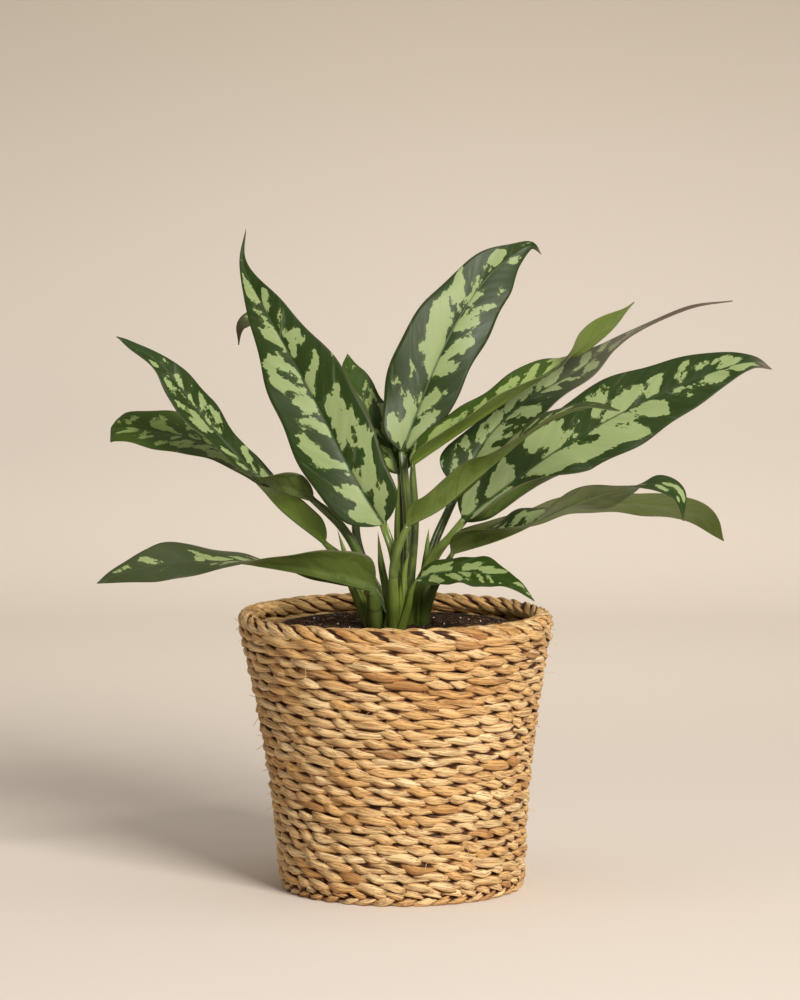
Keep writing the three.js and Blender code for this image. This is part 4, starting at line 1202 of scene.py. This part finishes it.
bend = leaf_noise(along / size / 5.0, across / size / 5.0, own, detail=1.0)
patches = leaf_noise((along - distance * PATCH_SLANT) / size / 12.0 + bend * 0.6,
                     distance / size / 12.0 + bend * 0.5, own)
ragged = leaf_noise((along - distance * 0.6) / size / 5.0, across / size / 4.2, own + 3.0,
                    detail=3.5, roughness=0.68)
margin = abs(share_across).smooth_step(0.55, 0.95)
beside_rib = distance.smooth_step(1.6, 0.4)
near_tip = share_along.smooth_step(0.45, 0.95)
level = (patches + (ragged - 0.5) * 0.6 + VARIEGATION.taken("Cover")
         - margin * 0.26 - beside_rib * 0.08 - near_tip * 0.14)
vein_start = vein_place(along, distance)
between = (vein_start / VEIN_SPACING + seed + right_hand * 0.5 + 20.0).math("FRACT")
VARIEGATION.give(Pale=level.smooth_step(0.5, 0.517), Middle=level.smooth_step(0.42, 0.5),
                 Vein=abs(between - 0.5).smooth_step(0.455, 0.5),
                 Midrib=(distance + share_along * 0.6).smooth_step(1.1, 0.55),
                 Cloud=leaf_noise(vein_start / 6.0, distance / 12.0, own + 9.0, detail=3.0))

# %% Both faces of a leaf
BROWN = colour(92, 78, 62)


class LeafFace(Finish):
    """A finish that reads what a leaf keeps on its points, with the pattern on it."""

    def __init__(self, name, **sheen):
        super().__init__(name, **sheen)
        self.glow, self.dry_from, self.painted_grey_sheen = self.stored("leaf_light_and_age").split()
        size, cover, _ = self.stored("leaf_pattern").split()
        share = self.stored("leaf_share")
        self.share_along, self.share_across, _ = share.split()
        self.pattern = self.use(VARIEGATION, Place=self.stored("leaf_place"), Share=share, Size=size,
                                Cover=cover)

    def withered(self, tone, margin_from, margin_share):
        """Lays brown over the margin and the dry tip."""
        at_margin = abs(self.share_across).smooth_step(margin_from, 1.0, 0.0, margin_share)
        past_dry = self.share_along - self.dry_from + (self.pattern["Cloud"] - 0.5) * 0.12
        return coats(tone, (at_margin, BROWN), (past_dry.smooth_step(0.0, 0.07, 0.0, 0.85), BROWN))


# %% Upper face of a leaf
upper = LeafFace("leaf_upper_face", roughness=0.42, specular=0.17)
pattern, cloud = upper.pattern, upper.pattern["Cloud"]
# Painted light: the shine-through share lightens the green and the pale green, standing in for light passing
# through the leaf.
green = coats(
    cloud.blend(colour(28, 44, 10), colour(46, 64, 24)),
    (upper.glow * 0.4, colour(78, 104, 22)),
    (pattern["Middle"].smooth_step(0.2, 1.0, 0.0, 0.3), colour(80, 100, 46)))
pale_green = coats(
    cloud.blend(colour(120, 136, 86), colour(146, 161, 110)),
    (upper.glow * 0.3, colour(150, 176, 62)))
skin_colour = coats(
    pattern["Pale"].blend(green, pale_green),
    (pattern["Vein"] * 0.05, colour(84, 108, 56)),
    (pattern["Midrib"] * 0.75, colour(50, 70, 34)),
    # Painted sheen: a greyish haze over some spots of the blade.
    (cloud.smooth_step(0.6, 0.75, 0.0, 0.16), colour(150, 156, 140)),
    # Painted grey sheen: a glancing grey reflection painted over the outer part of the blade.
    (upper.share_along.smooth_step(0.3, 0.8) * upper.painted_grey_sheen, colour(120, 109, 97)))
upper.set("Base Color", upper.withered(skin_colour, 0.955, 0.5))
pores = upper.place.noise(2600.0, detail=2.0, seed=2.0)
upper.set("Roughness", cloud.smooth_step(0.3, 0.7, 0.34, 0.46))
upper.relief(pattern["Vein"] * -0.12 + pores * 0.08, 0.25 * MM, 0.6)

# %% Underside of a leaf
under = LeafFace("leaf_underside", roughness=0.5, specular=0.35)
pattern, cloud = under.pattern, under.pattern["Cloud"]
dull = coats(
    cloud.blend(colour(50, 68, 22), colour(84, 100, 44)),
    (pattern["Middle"] * 0.3, colour(112, 126, 66)),
    # Painted light shining through the underside.
    (under.glow, cloud.blend(colour(86, 110, 28), colour(116, 138, 52))),
    (pattern["Vein"] * 0.15, colour(118, 132, 72)),
    (pattern["Midrib"] * 0.6, colour(116, 132, 74)))
under.set("Base Color", under.withered(dull, 0.9, 0.55))
under.relief(pattern["Vein"], 0.3 * MM, 0.6)

# %% Stalks and sheaths
stalk = Finish("stalk", roughness=0.3, specular=0.5)
along, _, own = stalk.stored("leaf_place").split()
_, around_x, around_y = stalk.stored("leaf_share").split()
fibre = stalk.use(FIBRE, Strand=stalk.combine(along * MM, around_x, around_y), Stretch=22.0,
                  Fineness=4.0, Seed=2.0)
mottle = stalk.place.noise(90.0, detail=3.0, seed=7.0)
age = stalk.place.noise(38.0, detail=1.0, seed=2.0)
stalk.set("Base Color", coats(
    (mottle + age - 0.5).smooth_step(0.35, 0.65).blend(colour(42, 56, 22), colour(80, 98, 40)),
    ((own * 5.7).math("FRACT").smooth_step(0.35, 0.9, 0.0, 0.6), colour(104, 124, 40)),
    (fibre["Streaks"].smooth_step(0.5, 0.75, 0.0, 0.45), colour(128, 142, 66)),
    (fibre["Cracks"] * 0.2, colour(150, 162, 90))))
stalk.relief(fibre["Lines"], 0.25 * MM, 0.5)

# %% Grow the leaves
# The light that shines through the young leaves is painted into their colour as painted light, most of all on
# leaf_14, which lies in shade. The tips of some leaves have dried, and a painted grey sheen lies over the
# outer part of leaf_06 and, faintly, leaf_12.
PAINTED_SHINE_THROUGH = {"leaf_02": 0.6, "leaf_05": 0.9, "leaf_10": 0.8, "leaf_08": 0.35, "leaf_12": 0.15, "leaf_03": 0.9,
        "leaf_14": 1.2, "leaf_11": 0.3}
DRY_FROM = {"leaf_06": 0.72, "leaf_07": 0.92, "leaf_04": 0.94, "leaf_03": 0.86, "leaf_01": 0.96}
PAINTED_GREY_SHEEN = {"leaf_06": 0.7, "leaf_12": 0.12}
FULL_GROWN = {"leaf_14": 34}
COVER = {"leaf_12": -0.04, "leaf_14": 0.07, "leaf_13": -0.03}
LEAF_SEEDS = {name: (0.137 + number * 0.618) % 1 for number, name in enumerate(LEAVES)}


def keep_what_leaves_read(piece, place, share):
    keep_on_points(piece, "leaf_place", place)
    keep_on_points(piece, "leaf_share", share)


for name, leaf in LEAVES.items():
    vertices, faces, face_slots, place, share = leaf_skin(leaf, LEAF_SEEDS[name])
    materials = [upper.material, under.material, stalk.material]
    piece = add_piece(f"{name}_detail", vertices * MM, faces, materials, face_slots)
    keep_what_leaves_read(piece, place, share)
    # Painted shine-through light, where the dry tip starts, and painted grey sheen, for each leaf.
    age = (PAINTED_SHINE_THROUGH.get(name, 0.0), DRY_FROM.get(name, 0.97), PAINTED_GREY_SHEEN.get(name, 0.0))
    keep_on_points(piece, "leaf_light_and_age", [age] * len(vertices))
    widest = max(row[6] for row in leaf["blade"])
    size_and_cover = (max(0.4, widest / FULL_GROWN.get(name, 22)), COVER.get(name, 0.02), 0.0)
    keep_on_points(piece, "leaf_pattern", [size_and_cover] * len(vertices))
    hand_in(piece, "leaf", name)

# %% [markdown]
# ### Shoots
# At the foot of each stalk the stalk widens into a sheath, an open channel with thin wings that
# wraps the younger stalks inside it. The oldest sheaths stand on a short ringed cane that
# disappears into the soil, and young leaves come out as rolled spears.

# %% Sheaths
SHEATH_WING = 0.9
SHEATH_SPREAD = 0.5
SHEATH_RINGS = 30
TUBE_CORNERS = np.radians(np.linspace(450, 90, 41)[:-1])
TUBE_X, TUBE_Y = np.cos(TUBE_CORNERS), np.sin(TUBE_CORNERS)


def sheath_rings(leaf):
    """The part of a stalk below its leaf's own skin, open on its upper side."""
    foot = share_at_height(leaf["stalk"], leaf["sheath"])
    _, length = by_length(spaced_curve, leaf["stalk"])
    shares = np.concatenate([np.linspace(0, foot, SHEATH_RINGS), foot + PAST_THE_JOINT / length])
    above = np.linspace(shares[-1] + 0.01, 1, 30)
    (_, base, _), *_ = blade_frames(leaf, np.array(FIRST_STATIONS[:1]))
    t, _ = by_length(spaced_curve, leaf["stalk"], np.concatenate([shares, above])[::-1])
    frames = [values[::-1][:len(shares)] for values in carried_frames(leaf["stalk"], t, base[0])]
    done = np.clip(shares / max(foot, 0.01), 0, 1)[:, None]
    off = np.abs((np.degrees(TUBE_CORNERS)[None] - 90 + 180) % 360 - 180)
    channel = 1 - (0.5 - 0.16 * done) * np.exp(-(off / (26 + 6 * done)) ** 2)
    wing = SHEATH_WING * np.exp(-((off - 40) / 9) ** 2) * np.clip((1 - done) * 2, 0, 1)
    radius = (leaf["girth"][0] + 0.8 * (1 - done)) * channel + wing
    radius[-len(TUCKED):] *= TUCKED[:, None]
    sideways = radius * (1 + SHEATH_SPREAD * (1 - done) ** 1.5)
    return rings_on(frames, sideways * TUBE_X, radius * TUBE_Y), shares * length


print("a ring of a tube has", len(TUBE_CORNERS), "points")

# %% Canes
CANE_RINGS = 36
CANE_FLOOR = 122.3
CANE_TOP = 151


def cane_rings(shoot):
    """A short cane with the scars of old leaves."""
    x, y = shoot["centre"]
    heights = np.linspace(CANE_FLOOR, CANE_TOP, CANE_RINGS)
    radius = shoot["radius"] * (1 - 0.03 * np.abs(np.sin(heights * 0.45)))
    radius = radius * np.clip((heights - CANE_FLOOR) / 5 + 0.7, 0, 1)
    radius = (radius * np.clip((CANE_TOP - heights) / 6 + 0.5, 0, 1))[:, None]
    points = fields(x + radius * TUBE_X, y - radius * TUBE_Y, heights[:, None])
    return points.reshape(CANE_RINGS, -1, 3), heights


print(f"each cane is {CANE_TOP - CANE_FLOOR:.1f} mm long")

# %% Spears
SPEAR_RINGS = 30


def spear_rings(rows):
    """A rolled young leaf: a tapering tube with a groove that winds once around it."""
    rows = np.asarray(rows, float)
    shares = np.linspace(0, 1, SPEAR_RINGS)
    t, length = by_length(spaced_curve, rows[:, :3], shares)
    radius = np.maximum(spaced_curve(rows[:, 3:], t), 0.08)
    turn = TUBE_CORNERS[None] - shares[:, None] * 4.0
    reach = radius * (1 - 0.3 * np.exp(-((np.abs((turn + math.pi) % TURN - math.pi)) / 0.3) ** 2))
    frames = carried_frames(rows[:, :3], t, (1, 0, 0))
    return rings_on(frames, reach * TUBE_X, reach * TUBE_Y), shares * length


for key, shoot in SHOOTS.items():
    print(f"shoot_{key}: spears of", [round(spear_rings(rows)[1][-1]) for rows in shoot["tips"]], "mm")

# %% Grow the shoots
CANE_SEED = 0.3
SPEAR_SEED = 0.15


def shoot_piece(key, shoot):
    """One mesh of the cane, the sheaths and the spears of a shoot."""
    parts = [(CANE_SEED, *cane_rings(shoot))]
    own_leaves = [name for name, leaf in LEAVES.items() if leaf["shoot"] == key]
    parts += [(LEAF_SEEDS[name], *sheath_rings(LEAVES[name])) for name in own_leaves]
    parts += [(SPEAR_SEED, *spear_rings(rows)) for rows in shoot["tips"]]
    all_vertices, all_faces, places, shares = [], [], [], []
    first = 0
    for seed, rings, along in parts:
        vertices, faces = skin_of(rings)
        all_vertices.append(vertices)
        all_faces += [[first + corner for corner in face] for face in faces]
        first += len(vertices)
        places.append(fields(along[:, None], 0 * TUBE_X, seed))
        shares.append(fields(0 * along[:, None], TUBE_X, TUBE_Y))
    piece = add_piece(f"shoot_{key}_detail", np.concatenate(all_vertices) * MM, all_faces, [stalk.material])
    keep_what_leaves_read(piece, np.concatenate(places), np.concatenate(shares))
    return piece


for key, shoot in SHOOTS.items():
    hand_in(shoot_piece(key, shoot), "stalk", f"shoot_{key}")

# %% [markdown]
# ## The room
# The plant stands on a pale sweep: a floor that curves up into a wall without an edge. Painted
# light and shade in the paper's colour make the floor lighter further back and the wall darker
# towards the top and towards both sides. One large soft light stands to the right and in front, so
# the shadow falls to the left and back, and the pale surroundings fill the shadows. The paper can
# be seen from its front only, so the plant can also be looked at from behind the wall.

# %% Floor and wall
SWEEP_FRONT = -3.6
SWEEP_BACK = 1.9
SWEEP_ROUND = 0.7
SWEEP_TOP = 3.0
SWEEP_HALF_WIDTH = 4.0
ROUND_STEPS = 24
sweep_profile = [(SWEEP_FRONT, 0.0)]
for step in range(ROUND_STEPS + 1):
    a = math.pi / 2 * step / ROUND_STEPS
    back = SWEEP_BACK - SWEEP_ROUND + SWEEP_ROUND * math.sin(a)
    sweep_profile.append((back, SWEEP_ROUND * (1 - math.cos(a))))
sweep_profile.append((SWEEP_BACK, SWEEP_TOP))
sweep_vertices = [(x, y, z) for y, z in sweep_profile for x in (-SWEEP_HALF_WIDTH, SWEEP_HALF_WIDTH)]
sweep_faces = [(2 * i, 2 * i + 1, 2 * i + 3, 2 * i + 2) for i in range(len(sweep_profile) - 1)]
paper = Finish("pale_sweep", roughness=0.9, specular=0.1)
sideways, far, up = paper.place.split()
cloth = paper.place.noise(500.0, detail=2.0, seed=1.0)
painted_side_shade = sideways.smooth_step(0.05, -0.5, 0.0, 0.07) + sideways.smooth_step(0.05, 0.5, 0.0, 0.07)
# Painted light and shade: lighter on the floor from 0.3 m back, darker up the wall and towards both sides.
paper.set("Base Color", coats(
    cloth.blend(colour(223, 213, 202), colour(228, 218, 207)),
    (far.smooth_step(0.3, 1.0), colour(240, 230, 217)),
    (up.smooth_step(0.01, 0.14), colour(223, 213, 201)),
    (up.smooth_step(0.1, 0.65), colour(184, 174, 159)),
    (painted_side_shade, colour(90, 84, 76))))
one_sided = paper.add("ShaderNodeMixShader", {
    0: paper.add("ShaderNodeNewGeometry", output="Backfacing"),
    1: Wire(paper, paper.shader.outputs["BSDF"]), 2: paper.add("ShaderNodeBsdfTransparent")})
paper.feed(paper.tree.nodes["Material Output"].inputs["Surface"], one_sided)
sweep = add_piece("sweep", sweep_vertices, sweep_faces, [paper.material])
print("sweep:", len(sweep_faces), "faces")

# %% Lights
def soft_light(name, place, aim, size, watts, tint):
    lamp = bpy.data.lights.new(name, "AREA")
    lamp.size = size
    lamp.energy = watts
    lamp.color = tint
    light = bpy.data.objects.new(name, lamp)
    light.location = place
    light.rotation_euler = (Vector(aim) - Vector(place)).to_track_quat("-Z", "Y").to_euler()
    bpy.context.scene.collection.objects.link(light)
    print(f"light {name}: {watts} W")


soft_light("key", (1.9, -3.3, 2.3), (0.0, 0.0, 0.15), 1.6, 228.0, (1.0, 0.955, 0.9))
soft_light("top", (0.3, -0.2, 2.6), (0.0, 0.0, 0.1), 2.4, 14.0, (1.0, 0.97, 0.94))
room = bpy.data.worlds.new("room")
room.use_nodes = True
surroundings = room.node_tree.nodes["Background"].inputs
surroundings["Color"].default_value = (1.0, 0.97, 0.93, 1.0)
surroundings["Strength"].default_value = 0.28
bpy.context.scene.world = room
